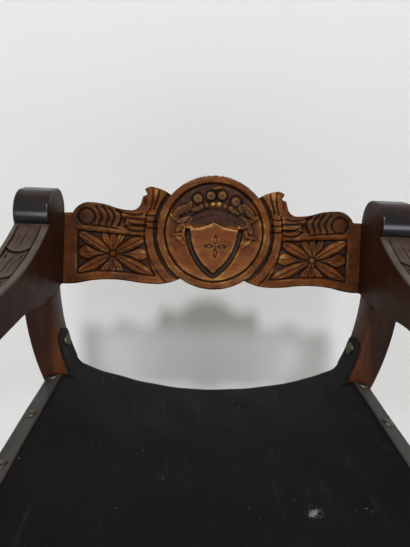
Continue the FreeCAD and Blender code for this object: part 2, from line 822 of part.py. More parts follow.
# The back rail's outline, right half. Across: shares of the rail's half length.
# Up: shares of its height. Arcs add a radius, a share of the height, and a turn.
RAIL_TOP_SHARES = [
    (0.823, 1.008), (0.717, 1.162, 0.251, 1), (0.600, 1.117, 0.923, 1),
    (0.487, 1.070, 0.826, -1), (0.432, 1.166, 0.141, -1), (0.420, 1.275),
    (0.392, 1.301), (0.410, 1.372), (0.353, 1.406, 0.130, 1),
    (0.255, 1.308, 0.591, 1), (0.167, 1.053),
]
RAIL_FOOT_SHARES = [
    (0.167, 0.300), (0.185, 0.130), (0.333, 0.035, 0.734, 1),
    (0.467, 0.059, 2.170, 1), (0.740, 0.041, 1.875, -1), (0.853, 0.0, 0.952, 1),
]
# The sunk panel beside the medallion, as shares of the same two sizes.
PANEL_OUT_SHARE = 0.787
PANEL_FOOT_SHARES = (0.138, 0.150)
PANEL_HEAD_SHARES = (0.720, 0.760)
PANEL_BOW_SHARE = 2.74
PANEL_RING_SHARE = 1.22          # of the medallion's radius
SHIELD_SIDE_SHARE = 1.30         # of its height
SHIELD_HEAD_SHARE = 0.90
SHIELD_PEAK_SHARE = 0.12


def mirror_route(start, steps):
    """The mirror image of an open route, walked from its end back to its start."""
    points = [start] + [step[:2] for step in steps]
    turned = []
    for point, step in zip(reversed(points[:-1]), reversed(steps)):
        back = (-point[0], point[1])
        turned.append(back if len(step) == 2 else (*back, step[2], step[3]))
    return turned


def shield_route(half, top, tip):
    """Outline steps of a heater shield, from its tip round to its tip."""
    tall = top - tip
    side, head = SHIELD_SIDE_SHARE * tall, SHIELD_HEAD_SHARE * tall
    peak = top + SHIELD_PEAK_SHARE * tall
    return (0, tip), [(half, top, side, 1), (0, peak, head, -1),
                      (-half, top, head, -1), (0, tip, side, 1)]


def build_rail():
    """The carved back rail, lapped behind the posts at both ends."""
    name = "back_rail"
    body = new_body(name)
    wide, tall, thick = rail_half, S["rail_height"], S["rail_thick"]
    radius, middle = S["medal_radius"], S["medal_height"]

    def route(table):
        steps = []
        for row in table:
            step = (row[0] * wide, row[1] * tall)
            steps.append(step if len(row) == 2 else (*step, row[2] * tall, row[3]))
        return steps

    top, foot = route(RAIL_TOP_SHARES), route(RAIL_FOOT_SHARES)
    sketch = new_sketch(body, name + "_outline", "XZ_Plane")
    steps = [(wide, tall)] + top
    steps += [(-top[-1][0], top[-1][1])] + mirror_route((wide, tall), top)
    steps += [(-wide, size(0))]
    left_foot = mirror_route(foot[0], foot[1:])
    steps += [(-foot[-1][0], foot[-1][1])] + left_foot
    steps += foot + [(wide, size(0))]
    outline(sketch, (wide, size(0)), steps)
    pad(body, name + "_board", sketch, thick, True)
    rise, sink = S["medal_rise"], S["medal_sink"]
    sketch = new_sketch(body, name + "_medallion", "XZ_Plane", rise)
    circle(sketch, (0, middle), radius)
    pad(body, name + "_disc", sketch, thick + rise, True)
    sketch = new_sketch(body, name + "_field", "XZ_Plane", rise)
    circle(sketch, (0, middle), radius - S["medal_ring"])
    pocket(body, name + "_field_sunk", sketch, sink)
    # The two sunk panels, each with a flower of eight petals.
    ring = PANEL_RING_SHARE * radius
    foot_in, foot_out = [share * tall for share in PANEL_FOOT_SHARES]
    head_in, head_out = [share * tall for share in PANEL_HEAD_SHARES]

    def ring_x(v):
        return root(ring * ring - (middle - v) * (middle - v))

    sketch = new_sketch(body, name + "_panels", "XZ_Plane")
    for side in (1, -1):
        out = side * PANEL_OUT_SHARE * wide
        first = (side * ring_x(foot_in), foot_in)
        outline(sketch, first, [
            (out, foot_out, PANEL_BOW_SHARE * tall, -side),
            (out, head_out),
            (side * ring_x(head_in), head_in),
            (*first, ring, -side)])
    pocket(body, name + "_panels_sunk", sketch, S["panel_sink"])
    sketch = new_sketch(body, name + "_flowers", "XZ_Plane", -S["panel_sink"])
    button = S["flower_button"]
    for side in (1, -1):
        centre = (side * FLOWER_SHARE * wide, S["panel_mid"])
        circle(sketch, centre, button)
        for base in (size(0), half_turn):
            spread = [base + turn for turn in (S["petal_turn"], -S["petal_turn"])]
            petals(sketch, centre, 1.15 * button, S["petal_long"],
                   S["petal_long"] / 8, spread)
            petals(sketch, centre, 1.15 * button, S["petal_side"],
                   S["petal_side"] / 7, [base])
            petals(sketch, centre, 1.15 * button, S["petal_up"],
                   S["petal_up"] / 5, [base + square])
    pad(body, name + "_flowers_raised", sketch, S["flower_rise"])
    # The shield, with its border and four-petalled charge.
    bed = rise - sink
    sketch = new_sketch(body, name + "_shield", "XZ_Plane", bed)
    outline(sketch, *shield_route(S["shield_half"], S["shield_top"], S["shield_tip"]))
    pad(body, name + "_shield_raised", sketch, S["shield_rise"])
    border = S["shield_border"]
    sketch = new_sketch(body, name + "_shield_field", "XZ_Plane", bed + S["shield_rise"])
    outline(sketch, *shield_route(S["shield_half"] - border, S["shield_top"] - border / 2,
                                  S["shield_tip"] + 1.5 * border))
    pocket(body, name + "_shield_sunk", sketch, S["shield_sink"])
    sketch = new_sketch(body, name + "_charge", "XZ_Plane",
                        bed + S["shield_rise"] - S["shield_sink"])
    centre = (size(0), (S["shield_top"] * 2 + S["shield_tip"]) / 3)
    petals(sketch, centre, S["charge_reach"] / 6, S["charge_reach"],
           S["charge_reach"] / 4, [number * square for number in range(4)])
    pad(body, name + "_charge_raised", sketch, S["shield_sink"])
    # Flared notches, open below, that drop over the studs of the posts.
    sketch = new_sketch(body, name + "_notches", "XZ_Plane")
    fit = S["stud_radius"] + S["fit_gap"]
    flare = S["notch_flare"]
    fall = (S["stud_height"] + fit * sin(flare) + S["overrun"]) / cos(flare)
    for side in (1, -1):
        spot = stud_x
        turn_in = (spot - fit * cos(flare), S["stud_height"] + fit * sin(flare))
        first = (side * (spot + fit), S["stud_height"])
        outline(sketch, first, [
            (side * turn_in[0], turn_in[1], fit, side),
            (side * (turn_in[0] - fall * sin(flare)), -S["overrun"]),
            (side * (spot + fit), -S["overrun"]),
            first])
    pocket(body, name + "_notched", sketch, S["notch_depth"])
    gap = S["fit_gap"]
    place(body, 0, S["back_face"] + gap * cos(S["back_lean"]),
          S["arm_under"] - gap * sin(S["back_lean"]), (-1, 0, 0), S["back_lean"])
    return body


bodies = []
for word, side in (("left", -1), ("right", 1)):
    other = {"left": "right", "right": "left"}[word]
    bodies.append(build_arm(word + "_arm", side))
    for end in ("front", "rear"):
        bodies.append(build_leg("_".join((word, end, "leg")), side, end, side < 0))
        bodies.append(build_foot("_".join((other, end, "foot")), -side, end))
        bodies.append(build_tab_nail("_".join((word, end, "tab_nail")), side, end))
    bodies.append(build_runner(other + "_runner", -side))
    bodies.append(build_seat_rail(word + "_seat_rail", side))
    bodies.append(build_band(word + "_seat_band", side))
    for number in range(4):
        bodies.append(build_tack("%s_tack_%d" % (word, number + 1), side, number))
    bodies.append(build_stud(word + "_rail_stud", side))
bodies.append(build_stretcher())
bodies.append(build_rosette())
bodies.append(build_rear_cap())
bodies.append(build_leather())
bodies.append(build_rail())
doc.recompute()

for item in doc.Objects:
    if "Invalid" in item.State or "Error" in item.State:
        raise RuntimeError("%s is in state %s" % (item.Name, item.State))
for body in bodies:
    shape = body.Shape
    if shape.isNull() or not shape.isValid() or len(shape.Solids) != 1:
        raise RuntimeError("%s has no single valid solid" % body.Label)

os.makedirs("parts", exist_ok=True)
for body in bodies:
    body.Shape.exportStep(os.path.join("parts", body.Label + ".step"))
print("pivot height %.1f, foot at %.1f" % (pivot_z.value, foot_x.value))
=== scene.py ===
from math import asin, atan2, cos, exp, log, pi, radians, sin, sqrt, tan

import bmesh
import bpy
import numpy as np
from mathutils import Matrix, Vector


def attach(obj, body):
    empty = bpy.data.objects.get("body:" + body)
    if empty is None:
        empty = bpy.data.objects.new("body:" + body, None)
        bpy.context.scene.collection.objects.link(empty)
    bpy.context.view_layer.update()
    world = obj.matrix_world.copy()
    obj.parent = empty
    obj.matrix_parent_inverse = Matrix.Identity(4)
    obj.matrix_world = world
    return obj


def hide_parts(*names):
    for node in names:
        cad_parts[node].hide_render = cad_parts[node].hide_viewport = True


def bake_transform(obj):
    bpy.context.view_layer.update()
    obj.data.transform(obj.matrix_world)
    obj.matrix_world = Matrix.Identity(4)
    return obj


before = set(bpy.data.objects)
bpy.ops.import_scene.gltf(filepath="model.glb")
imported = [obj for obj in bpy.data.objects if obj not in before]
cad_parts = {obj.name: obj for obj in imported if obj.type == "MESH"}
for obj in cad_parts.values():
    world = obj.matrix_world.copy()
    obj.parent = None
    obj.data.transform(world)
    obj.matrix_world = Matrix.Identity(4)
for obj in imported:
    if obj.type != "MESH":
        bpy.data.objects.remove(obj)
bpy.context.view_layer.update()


# Sizes shared with the model, in millimetres and radians

MM = 0.001
GAP, LEATHER = 0.3, 2.6
ARM_GAP, ARM_WIDTH, ARM_UNDER = 520.0, 54.0, 625.0
LEG_TOP = (ARM_GAP + ARM_WIDTH) / 2
LEG_UPPER, HALF_LEG, LEG_DEPTH = 450.0, 22.5, 60.0
BACK = 224.8
FRONT = BACK - 472.0
REAR_LEG_FRONT, FRONT_LEG_REAR = BACK - LEG_DEPTH, FRONT + LEG_DEPTH
SEAT_TURN, LEAN = radians(19.3), radians(14.3)
SEAT_SIN, SEAT_COS = sin(SEAT_TURN), cos(SEAT_TURN)
LEAN_SIN, LEAN_COS = sin(LEAN), cos(LEAN)
RAIL_BASE = np.array([0.0, BACK + GAP * LEAN_COS, ARM_UNDER - GAP * LEAN_SIN])
RAIL_HALF, RAIL_TALL, RAIL_THICK = 300.0, 123.5, 24.0
DISC_RADIUS, DISC_V = 100.0, 98.0
SIDES = (("left", -1), ("right", 1))


# Small helpers for shapes

def smooth(low, high, value):
    t = np.clip((value - low) / (high - low), 0.0, 1.0)
    return t * t * (3 - 2 * t)


def line_distance(x, v, points):
    """Distance from every grid point to an open line of points."""
    best = np.full(np.shape(x), 1e9)
    for (ax, ay), (bx, by) in zip(points[:-1], points[1:]):
        dx, dy = bx - ax, by - ay
        t = np.clip(((x - ax) * dx + (v - ay) * dy) / (dx * dx + dy * dy + 1e-12), 0, 1)
        best = np.minimum(best, np.hypot(x - ax - t * dx, v - ay - t * dy))
    return best


def inside(x, v, points):
    """Which grid points lie inside a closed outline."""
    result = np.zeros(np.shape(x), bool)
    for (ax, ay), (bx, by) in zip(points, points[1:] + points[:1]):
        if ay == by:
            continue
        cross = (ay > v) != (by > v)
        result ^= cross & (x < (bx - ax) * (v - ay) / (by - ay) + ax)
    return result


def signed(x, v, points):
    """Signed distance to a closed outline, positive inside."""
    away = line_distance(x, v, points + points[:1])
    return np.where(inside(x, v, points), away, -away)


def curve_through(points, count=12):
    """A smooth open line through the given points."""
    pts = [np.array(p, float) for p in points]
    pts = [2 * pts[0] - pts[1], *pts, 2 * pts[-1] - pts[-2]]
    line = []
    for p0, p1, p2, p3 in zip(pts, pts[1:], pts[2:], pts[3:]):
        line += [tuple(0.5 * ((2 * p1) + (p2 - p0) * t + (2 * p0 - 5 * p1 + 4 * p2 - p3) * t * t
                              + (3 * p1 - p0 - 3 * p2 + p3) * t * t * t))
                 for t in np.arange(count) / count]
    return line + [tuple(pts[-2])]


def arc_route(start, steps, spacing=1.5):
    """Points along a route of lines and arcs, as the model's outlines have them."""
    line = [tuple(start)]
    here = np.array(start, float)
    for *there, radius, turn in [step if len(step) == 4 else (*step, 0, 0) for step in steps]:
        there = np.array(there, float)
        if turn:
            chord = there - here
            half = np.hypot(*chord) / 2
            reach = turn * sqrt(max(radius * radius - half * half, 0))
            centre = here + chord / 2 + np.array([-chord[1], chord[0]]) / (2 * half) * reach
            a0, a1 = (atan2(*(p - centre)[::-1]) for p in (here, there))
            if (a1 - a0) * turn <= 0:
                a1 += turn * 2 * pi
            count = max(2, int(abs(a1 - a0) * radius / spacing))
            line += [tuple(centre + radius * np.array([cos(a), sin(a)]))
                     for a in (a0 + (a1 - a0) * k / count for k in range(1, count + 1))]
        else:
            line.append(tuple(there))
        here = there
    return line


def run_lengths(points):
    """Length along a line at each of its points."""
    return np.concatenate([[0], np.cumsum(np.hypot(*np.diff(points, axis=0).T))])


def resample(points, spacing):
    points = np.array(points, float)
    total = run_lengths(points)
    count = max(2, int(round(total[-1] / spacing)))
    spots = np.linspace(0, total[-1], count + 1)
    return np.stack([np.interp(spots, total, points[:, i]) for i in (0, 1)], -1)


def blur(field, steps):
    """A soft average of a grid: neighbour means along one axis and the other in turn."""
    for _ in range(2 * steps):
        wide = np.pad(field, ((1, 1), (0, 0)), "edge")
        field = (0.25 * wide[:-2] + 0.5 * field + 0.25 * wide[2:]).T
    return field


def waves(x, y, count, least, most, seed, z=0.0):
    """A smooth random field made of sines, about one unit high."""
    rng = np.random.default_rng(seed)
    total = np.zeros(np.shape(x))
    for _ in range(count):
        way = rng.normal(size=3)
        way /= np.linalg.norm(way)
        length = exp(rng.uniform(log(least), log(most)))
        total += np.sin(2 * pi * (x * way[0] + y * way[1] + z * way[2]) / length
                        + rng.uniform(0, 6.3))
    return total / sqrt(count)


def bell(value, middle, wide):
    """A soft peak around a middle value."""
    return np.exp(-((value - middle) / wide) ** 2)


def hump(away, wide):
    """A round peak that ends at the given distance."""
    return np.clip(1 - (away / wide) ** 2, 0, 1)


def spot(x, v, cx, cv, a, b, rim=1):
    """A soft elliptic spot; a higher rim makes its edge harder."""
    return np.exp(-(((x - cx) / a) ** 2 + ((v - cv) / b) ** 2) ** rim)


def new_piece(name, verts, faces, material, **layers):
    """A smooth mesh object, with a number per vertex for each named layer."""
    mesh = bpy.data.meshes.new(name)
    mesh.from_pydata([tuple(map(float, p)) for p in verts], [], faces)
    mesh.validate()
    mesh.update()
    for word, values in layers.items():
        layer = mesh.attributes.new(word, "FLOAT", "POINT")
        layer.data.foreach_set("value", np.asarray(values, np.float32))
    mesh.materials.append(material)
    mesh.polygons.foreach_set("use_smooth", [True] * len(mesh.polygons))
    obj = bpy.data.objects.new(name, mesh)
    bpy.context.scene.collection.objects.link(obj)
    return obj


def thicken(obj, thickness, offset):
    """Give a surface its thickness in millimetres, as a plain mesh without modifiers."""
    solid = obj.modifiers.new("thick", "SOLIDIFY")
    solid.thickness = thickness * MM
    solid.offset = offset
    graph = bpy.context.evaluated_depsgraph_get()
    mesh = bpy.data.meshes.new_from_object(obj.evaluated_get(graph))
    obj.modifiers.clear()
    obj.data = mesh
    mesh.polygons.foreach_set("use_smooth", [True] * len(mesh.polygons))


def strips(rows, flip=False):
    """Quads between neighbouring rows of vertex numbers."""
    faces = []
    for above, below in zip(rows[:-1], rows[1:]):
        for j in range(len(above) - 1):
            quad = (above[j], above[j + 1], below[j + 1], below[j])
            faces.append(quad[::-1] if flip else quad)
    return faces


# Materials

class Nodes:
    """The nodes of a material or world. A value is a pair: a node and its output."""

    def __init__(self, tree):
        self.tree = tree
        tree.nodes.clear()

    def add(self, kind, sockets=None, **values):
        node = self.tree.nodes.new(kind)
        for key, value in values.items():
            setattr(node, key, value)
        for key, value in (sockets or {}).items():
            node.inputs[key].default_value = value
        return node

    def link(self, value, node, into):
        self.tree.links.new(value[0].outputs[value[1]], node.inputs[into])

    def mix_shader(self, share, first, second):
        node = self.add("ShaderNodeMixShader")
        for into, value in enumerate((share, first, second)):
            self.link(value, node, into)
        return node, 0

    def seen_rays(self):
        """1 on the rays that show the surroundings: camera, glossy and transmission rays."""
        ray = self.add("ShaderNodeLightPath")
        value = ray, "Is Camera Ray"
        for name in ("Is Glossy Ray", "Is Transmission Ray"):
            either = self.add("ShaderNodeMath", operation="MAXIMUM")
            self.link(value, either, 0)
            self.link((ray, name), either, 1)
            value = either, 0
        return value


class Shader(Nodes):
    """A material with one main shader."""

    def __init__(self, name, kind="ShaderNodeBsdfPrincipled", sockets=None):
        self.material = bpy.data.materials.new(name)
        self.material.use_nodes = True
        super().__init__(self.material.node_tree)
        self.out = self.add("ShaderNodeOutputMaterial")
        self.bsdf = self.add(kind, sockets)
        self.link((self.bsdf, "BSDF"), self.out, "Surface")
        self.where = self.add("ShaderNodeTexCoord"), "Object"

    def placed(self, **sockets):
        node = self.add("ShaderNodeMapping", sockets)
        self.link(self.where, node, "Vector")
        return node, "Vector"

    def noise(self, scale, detail=4.0, rough=0.55, stretch=(1, 1, 1), turn=(0, 0, 0), warp=0.0):
        node = self.add("ShaderNodeTexNoise", {"Scale": scale, "Detail": detail,
                                               "Roughness": rough, "Distortion": warp})
        self.link(self.placed(Scale=stretch, Rotation=turn), node, "Vector")
        return node, "Fac"

    def layer(self, name):
        return self.add("ShaderNodeAttribute", attribute_name=name), "Fac"

    def between(self, value, low, high, start=0.0, end=1.0):
        """The value's run from start to end, laid between low and high."""
        node = self.add("ShaderNodeMapRange", {"From Min": start, "From Max": end,
                                               "To Min": low, "To Max": high})
        self.link(value, node, "Value")
        return node, "Result"

    def ramp(self, value, stops):
        """Colours or greys at the given places of a value's run."""
        node = self.add("ShaderNodeValToRGB")
        ramp = node.color_ramp
        while len(ramp.elements) < len(stops):
            ramp.elements.new(0.5)
        for element, (place, colour) in zip(ramp.elements, stops):
            element.position = place
            element.color = (*colour, 1) if isinstance(colour, tuple) else (*[colour] * 3, 1)
        self.link(value, node, "Fac")
        return node, "Color"

    def mix(self, kind, share, first, second):
        """A mix of two colours; the share and the second can be a value or plain numbers."""
        node = self.add("ShaderNodeMix", data_type="RGBA", blend_type=kind)
        if isinstance(share, tuple):
            self.link(share, node, 0)
        else:
            node.inputs[0].default_value = share
        self.link(first, node, 6)
        if len(second) == 2:
            self.link(second, node, 7)
        else:
            node.inputs[7].default_value = (*second, 1)
        return node, 2

    def sheen(self, value, stops):
        self.link(self.ramp(value, stops), self.bsdf, "Roughness")

    def relief(self, *layers):
        """Bumps over each other, from rows of value, strength and distance."""
        under = None
        for value, strength, distance in layers:
            node = self.add("ShaderNodeBump", {"Strength": strength, "Distance": distance})
            self.link(value, node, "Height")
            if under is not None:
                self.link(under, node, "Normal")
            under = node, "Normal"
        self.link(under, self.bsdf, "Normal")


def wood(name, dark, light, grain):
    """Polished wood, its grain running along the given stretch."""
    s = Shader(name, sockets={"Specular IOR Level": 0.08, "Coat Weight": 0.03,
                              "Coat Roughness": 0.16})
    broad = s.noise(9.0, 3.0, 0.5, grain, warp=0.4)
    fine = s.noise(70.0, 6.0, 0.65, grain, warp=0.2)
    base = s.ramp(broad, [(0.25, dark), (0.75, light)])
    pores = s.ramp(fine, [(0.36, (0.35, 0.32, 0.3)), (0.52, 1)])
    s.link(s.mix("MULTIPLY", 0.55, base, pores), s.bsdf, "Base Color")
    s.sheen(s.noise(26.0), [(0.3, 0.34), (0.75, 0.5)])
    s.relief((fine, 0.2, 0.0004))
    return s.material


def carved_wood(name, stops, along, rough, shine, polished):
    """Carved and waxed wood: dark in the recesses, partly dirt and partly painted shade;
    light on the high parts, partly rubbed and partly painted highlights.

    One layer says how far it is rubbed, with that painted shade and those painted highlights.
    The layer "tone" says how much polish it has where it is polished, and how light its
    stained colour is where it is not, with some painted shade and painted highlights in it.
    """
    s = Shader(name, sockets={"Specular IOR Level": shine, "Coat Roughness": 0.20})
    cloud = s.noise(24.0, 5.0, 0.6, (1, 1, 1.6))
    grain = s.noise(60.0, 6.0, 0.65, along, warp=0.3)
    # The rubbing, with its painted shade and painted highlights, made uneven by a cloud, picks the
    # colour.
    height = s.add("ShaderNodeMath", operation="ADD")
    s.link(s.layer("wear"), height, 0)
    s.link(s.between(cloud, -0.13, 0.13), height, 1)
    pores = s.ramp(grain, [(0.36, (0.45, 0.4, 0.36)), (0.52, 1)])
    colour = s.mix("MULTIPLY", 0.5, s.ramp((height, "Value"), stops), pores)
    tone = s.layer("tone")
    if polished:
        s.link(s.between(tone, 0.0, 0.36), s.bsdf, "Coat Weight")
    else:
        # Unpolished wood is darkened where its tone is low: darker staining, and painted shade in
        # hollows.
        stain_and_shade = s.ramp(tone, [(0.0, (0.10, 0.11, 0.16)), (0.5, (0.46, 0.46, 0.52)), (1.0, 1)])
        colour = s.mix("MULTIPLY", 1.0, colour, stain_and_shade)
    s.link(colour, s.bsdf, "Base Color")
    s.sheen(s.noise(40.0), [(0.3, rough[0]), (0.75, rough[1])])
    s.relief((grain, 0.15, 0.0003), (s.noise(130.0, 3.0, 0.5), 0.18, 0.0004))
    return s.material


def leather(name, dark, light, rough, shine, flaked_at=None):
    """Leather with fine creases; with a place for a flaked patch, it is also specked."""
    s = Shader(name, sockets={"Specular IOR Level": shine})
    colour = s.ramp(s.noise(7.0, 5.0, 0.6), [(0.3, dark), (0.72, light)])
    cells = s.add("ShaderNodeTexVoronoi", {"Scale": 620.0}, feature="DISTANCE_TO_EDGE")
    s.link(s.placed(), cells, "Vector")
    if flaked_at:
        # Fine rubbed streaks, small pale specks, and one flaked patch near the front.
        rub = s.noise(46.0, 6.0, 0.75, (1, 0.22, 1), (0, 0, 0.6), 0.6)
        streak = s.ramp(rub, [(0.56, 0), (0.72, 0.38)])
        colour = s.mix("MIX", streak, colour, (0.034, 0.034, 0.032))
        speck = s.ramp(s.noise(150.0, 3.0, 0.6), [(0.715, 0), (0.755, 0.7)])
        colour = s.mix("MIX", speck, colour, (0.20, 0.20, 0.19))
        reach = s.add("ShaderNodeVectorMath", operation="LENGTH")
        s.link(s.placed(Location=flaked_at), reach, 0)
        total = s.add("ShaderNodeMath", {1: 0.030}, operation="MULTIPLY_ADD")
        s.link(s.noise(190.0, 4.0, 0.7), total, 0)
        s.link((reach, "Value"), total, 2)
        patch = s.ramp((total, "Value"), [(0.0188, 0.70), (0.0205, 0)])
        colour = s.mix("MIX", patch, colour, (0.30, 0.31, 0.31))
    s.link(colour, s.bsdf, "Base Color")
    s.sheen(s.noise(16.0, 5.0), [(0.3, rough[0]), (0.75, rough[1])])
    s.relief(((cells, "Distance"), 0.25, 0.0003), (s.noise(90.0, 8.0, 0.7), 0.3, 0.0005))
    return s.material


def metal(name, dark, light, rough):
    s = Shader(name, sockets={"Metallic": 1.0})
    cloud = s.noise(160.0, 5.0, 0.6)
    s.link(s.ramp(cloud, [(0.35, dark), (0.7, light)]), s.bsdf, "Base Color")
    s.sheen(cloud, [(0.3, rough[1]), (0.7, rough[0])])
    s.relief((s.noise(240.0, 3.0), 0.3, 0.0003))
    return s.material


RED_WOOD = wood("red_wood_leg", (0.030, 0.0092, 0.0040), (0.108, 0.0310, 0.0085),
                (3.0, 3.0, 0.35))
FLOOR_WOOD = wood("red_wood_runner", (0.020, 0.0060, 0.0036), (0.055, 0.0150, 0.0065),
                  (3.0, 0.3, 3.0))
# Colours along the rubbing: near black for the recesses (partly dirt, partly painted shade), pale
# gold for rubbed edges and painted highlights.
ARM_WOOD = carved_wood(
    "dark_wood_arm", [(0.16, (0.0035, 0.0028, 0.0026)), (0.50, (0.0450, 0.0158, 0.0068)),
                      (0.72, (0.080, 0.063, 0.0500)), (0.95, (0.150, 0.122, 0.102))],
    (1, 0.18, 1), (0.30, 0.44), 0.04, polished=True)
RAIL_WOOD = carved_wood(
    "carved_wood_rail", [(0.12, (0.0035, 0.0030, 0.0038)), (0.38, (0.060, 0.0165, 0.0036)),
                         (0.64, (0.168, 0.0430, 0.0030)), (0.97, (0.46, 0.225, 0.065))],
    (0.18, 1, 1), (0.36, 0.52), 0.05, polished=False)
BOSS_WOOD = wood("turned_wood_boss", (0.022, 0.0075, 0.0038), (0.078, 0.0235, 0.0075),
                 (1.0, 0.25, 1.0))
SEAT_LEATHER = leather("seat_leather_black", (0.0034, 0.0030, 0.0027), (0.0072, 0.0062, 0.0055),
                       (0.50, 0.66), 0.08, flaked_at=(-0.124, 0.090, -0.440))
BAND_LEATHER = leather("band_leather_grey", (0.011, 0.0096, 0.0084), (0.046, 0.0395, 0.0335),
                       (0.45, 0.65), 0.25)
NAIL_BRASS = metal("nail_brass_dull", (0.034, 0.029, 0.021), (0.125, 0.102, 0.066), (0.34, 0.55))
STUD_STEEL = metal("stud_steel_dull", (0.2, 0.2, 0.2), (0.42, 0.42, 0.42), (0.3, 0.5))


# The carved back rail

# Outline of the right half in shares of half the length and of the height: points, or
# points reached by an arc, with its radius and turn.
TOP = [(0.823, 1.008), (0.717, 1.162, 0.251, 1), (0.600, 1.117, 0.923, 1),
       (0.487, 1.070, 0.826, -1), (0.432, 1.166, 0.141, -1), (0.420, 1.275),
       (0.392, 1.301), (0.410, 1.372), (0.353, 1.406, 0.130, 1),
       (0.255, 1.308, 0.591, 1), (0.167, 1.053)]
FOOT = [(0.167, 0.300), (0.185, 0.130), (0.333, 0.035, 0.734, 1),
        (0.467, 0.059, 2.170, 1), (0.740, 0.041, 1.875, -1), (0.853, 0.0, 0.952, 1)]


def rail_outline():
    """The board's closed outline, without the disc of the medallion."""
    def scaled(row):
        step = (row[0] * RAIL_HALF, row[1] * RAIL_TALL)
        return step if len(row) == 2 else (*step, row[2] * RAIL_TALL, row[3])

    top = arc_route((RAIL_HALF, RAIL_TALL), [scaled(r) for r in TOP])
    foot = arc_route(scaled(FOOT[0]), [scaled(r) for r in FOOT[1:]] + [(RAIL_HALF, 0.0)])
    return (top + [(-x, y) for x, y in reversed(top)]
            + [(-x, y) for x, y in reversed(foot)] + foot)


BOARD = rail_outline()


def disc_reach(x, v):
    """Distance from the middle of the medallion."""
    return np.hypot(x, v - DISC_V)


def board_signed(x, v):
    """Signed distance to the whole silhouette: the board joined with the disc."""
    return np.maximum(signed(x, v, BOARD), DISC_RADIUS - disc_reach(x, v))


def turned(x, v, cx, cv, angle):
    """Coordinates along and across a direction, counted from a centre."""
    a = radians(angle)
    return ((x - cx) * cos(a) + (v - cv) * sin(a), -(x - cx) * sin(a) + (v - cv) * cos(a))


def leaf(x, v, cx, cv, angle, long, wide, high, vein=0.0):
    """A rounded leaf or petal as a raised form: zero outside."""
    p, q = turned(x, v, cx, cv, angle)
    t = np.clip(p / long, -1, 1)
    half = wide * np.power(np.clip(1 - np.abs(t) ** 2, 0, 1), 0.75) + 1e-6
    r = np.clip(np.abs(q) / half, 0, 1)
    form = high * np.sqrt(np.clip(1 - r ** 2.4, 0, 1)) * (np.abs(p) < long)
    form *= smooth(0, 0.12, 1 - np.abs(t))
    if vein:
        form -= vein * bell(q, 0, 0.9) * (form > 0.2 * high) * smooth(0.0, 0.3, 1 - np.abs(t))
    return form


def petal(x, v, cx, cv, angle, start, end, wide, high, tip, vein=0.0):
    """A petal from near a centre outward, widest towards its end."""
    p, q = turned(x, v, cx, cv, angle)
    t = np.clip((p - start) / (end - start), 0, 1)
    grow = np.power(t, 0.7) * np.power(np.clip(1 - t, 0, 1), tip)
    peak = 0.7 / (0.7 + tip)
    half = wide * grow / (peak ** 0.7 * (1 - peak) ** tip) + 1e-6
    r = np.clip(np.abs(q) / half, 0, 1)
    form = high * np.sqrt(np.clip(1 - r ** 3, 0, 1)) * ((p > start) & (p < end))
    form *= smooth(0.0, 0.08, t) * 0.75 + 0.25 * smooth(0.0, 0.6, t)
    if vein:
        form -= vein * bell(q, 0, 1) * (form > 0.15 * high)
    return form


def bead(x, v, cx, cv, radius):
    """A round knob, one high."""
    away = np.hypot(x - cx, v - cv)
    return np.power(np.clip(1 - (away / radius) ** 2.4, 0, 1), 0.5)


def groove(x, v, points, wide, deep):
    """A rounded cut along a line, as a depth."""
    return deep * hump(line_distance(x, v, points), wide)


def carve(x, v, height, cuts):
    """Grooves, or ridges where the depth is negative, along smooth lines."""
    for points, wide, deep in cuts:
        height -= groove(x, v, curve_through(points), wide, deep)
    return height


# The panel's outline as smooth runs. Its flower: angle, length and tip of the four long
# petals; angle, length, width, tip and height of the eight short ones between them.
PANEL = (
    [(237, 94), (200, 92.5), (160, 89.5), (122, 87)],
    [(120.5, 79), (115, 55), (108, 36), (100, 18)],
    [(100, 18), (144, 22.3), (182, 24.4), (206, 23), (236, 18.5)])
LONG_PETALS = ((31, 72, 0.55), (151, 68, 0.55), (-30, 70, 0.60), (207, 82, 0.60))
SHORT_PETALS = (
    (2, 60, 12.5, 0.45, 4.2), (180, 62, 12.0, 0.45, 4.2), (90, 37, 7.0, 0.36, 3.6),
    (65, 41, 6.6, 0.36, 4.4), (115, 41, 6.6, 0.36, 4.4), (-90, 38, 7.0, 0.36, 3.6),
    (-64, 43, 6.6, 0.36, 4.4), (-116, 43, 6.6, 0.36, 4.4))
# Head and foot of each flute, its width and depth.
FLUTES = (
    ((207, 136), (201.5, 103.5), 2.3, 2.4), ((196, 137.5), (189, 102.5), 2.3, 2.4),
    ((184.5, 134.5), (179.5, 103), 2.3, 2.4), ((170.5, 131), (168, 105), 3.0, 4.0))
# Cuts of the folded leaf and of the ear: points, width and depth.
LEAF_CUTS = (
    ([(164, 128.5), (152, 125.0), (140, 123.5), (126, 126)], 2.0, 2.6),
    ([(120, 116.5), (133, 117.0), (146, 117.5), (153, 120.0)], 2.1, 2.6),
    ([(120, 106.0), (132, 105.5), (143, 107.0), (151, 112.0)], 2.3, 3.2),
    ([(122, 97.0), (134, 95.5), (146, 97.5), (156, 103.5)], 2.0, 2.8),
    ([(108.5, 172), (108.0, 160), (109.5, 147), (113.5, 134)], 2.2, 2.6),
    ([(97.5, 168), (99.5, 158), (103.0, 147), (106.0, 136)], 2.6, 3.0))


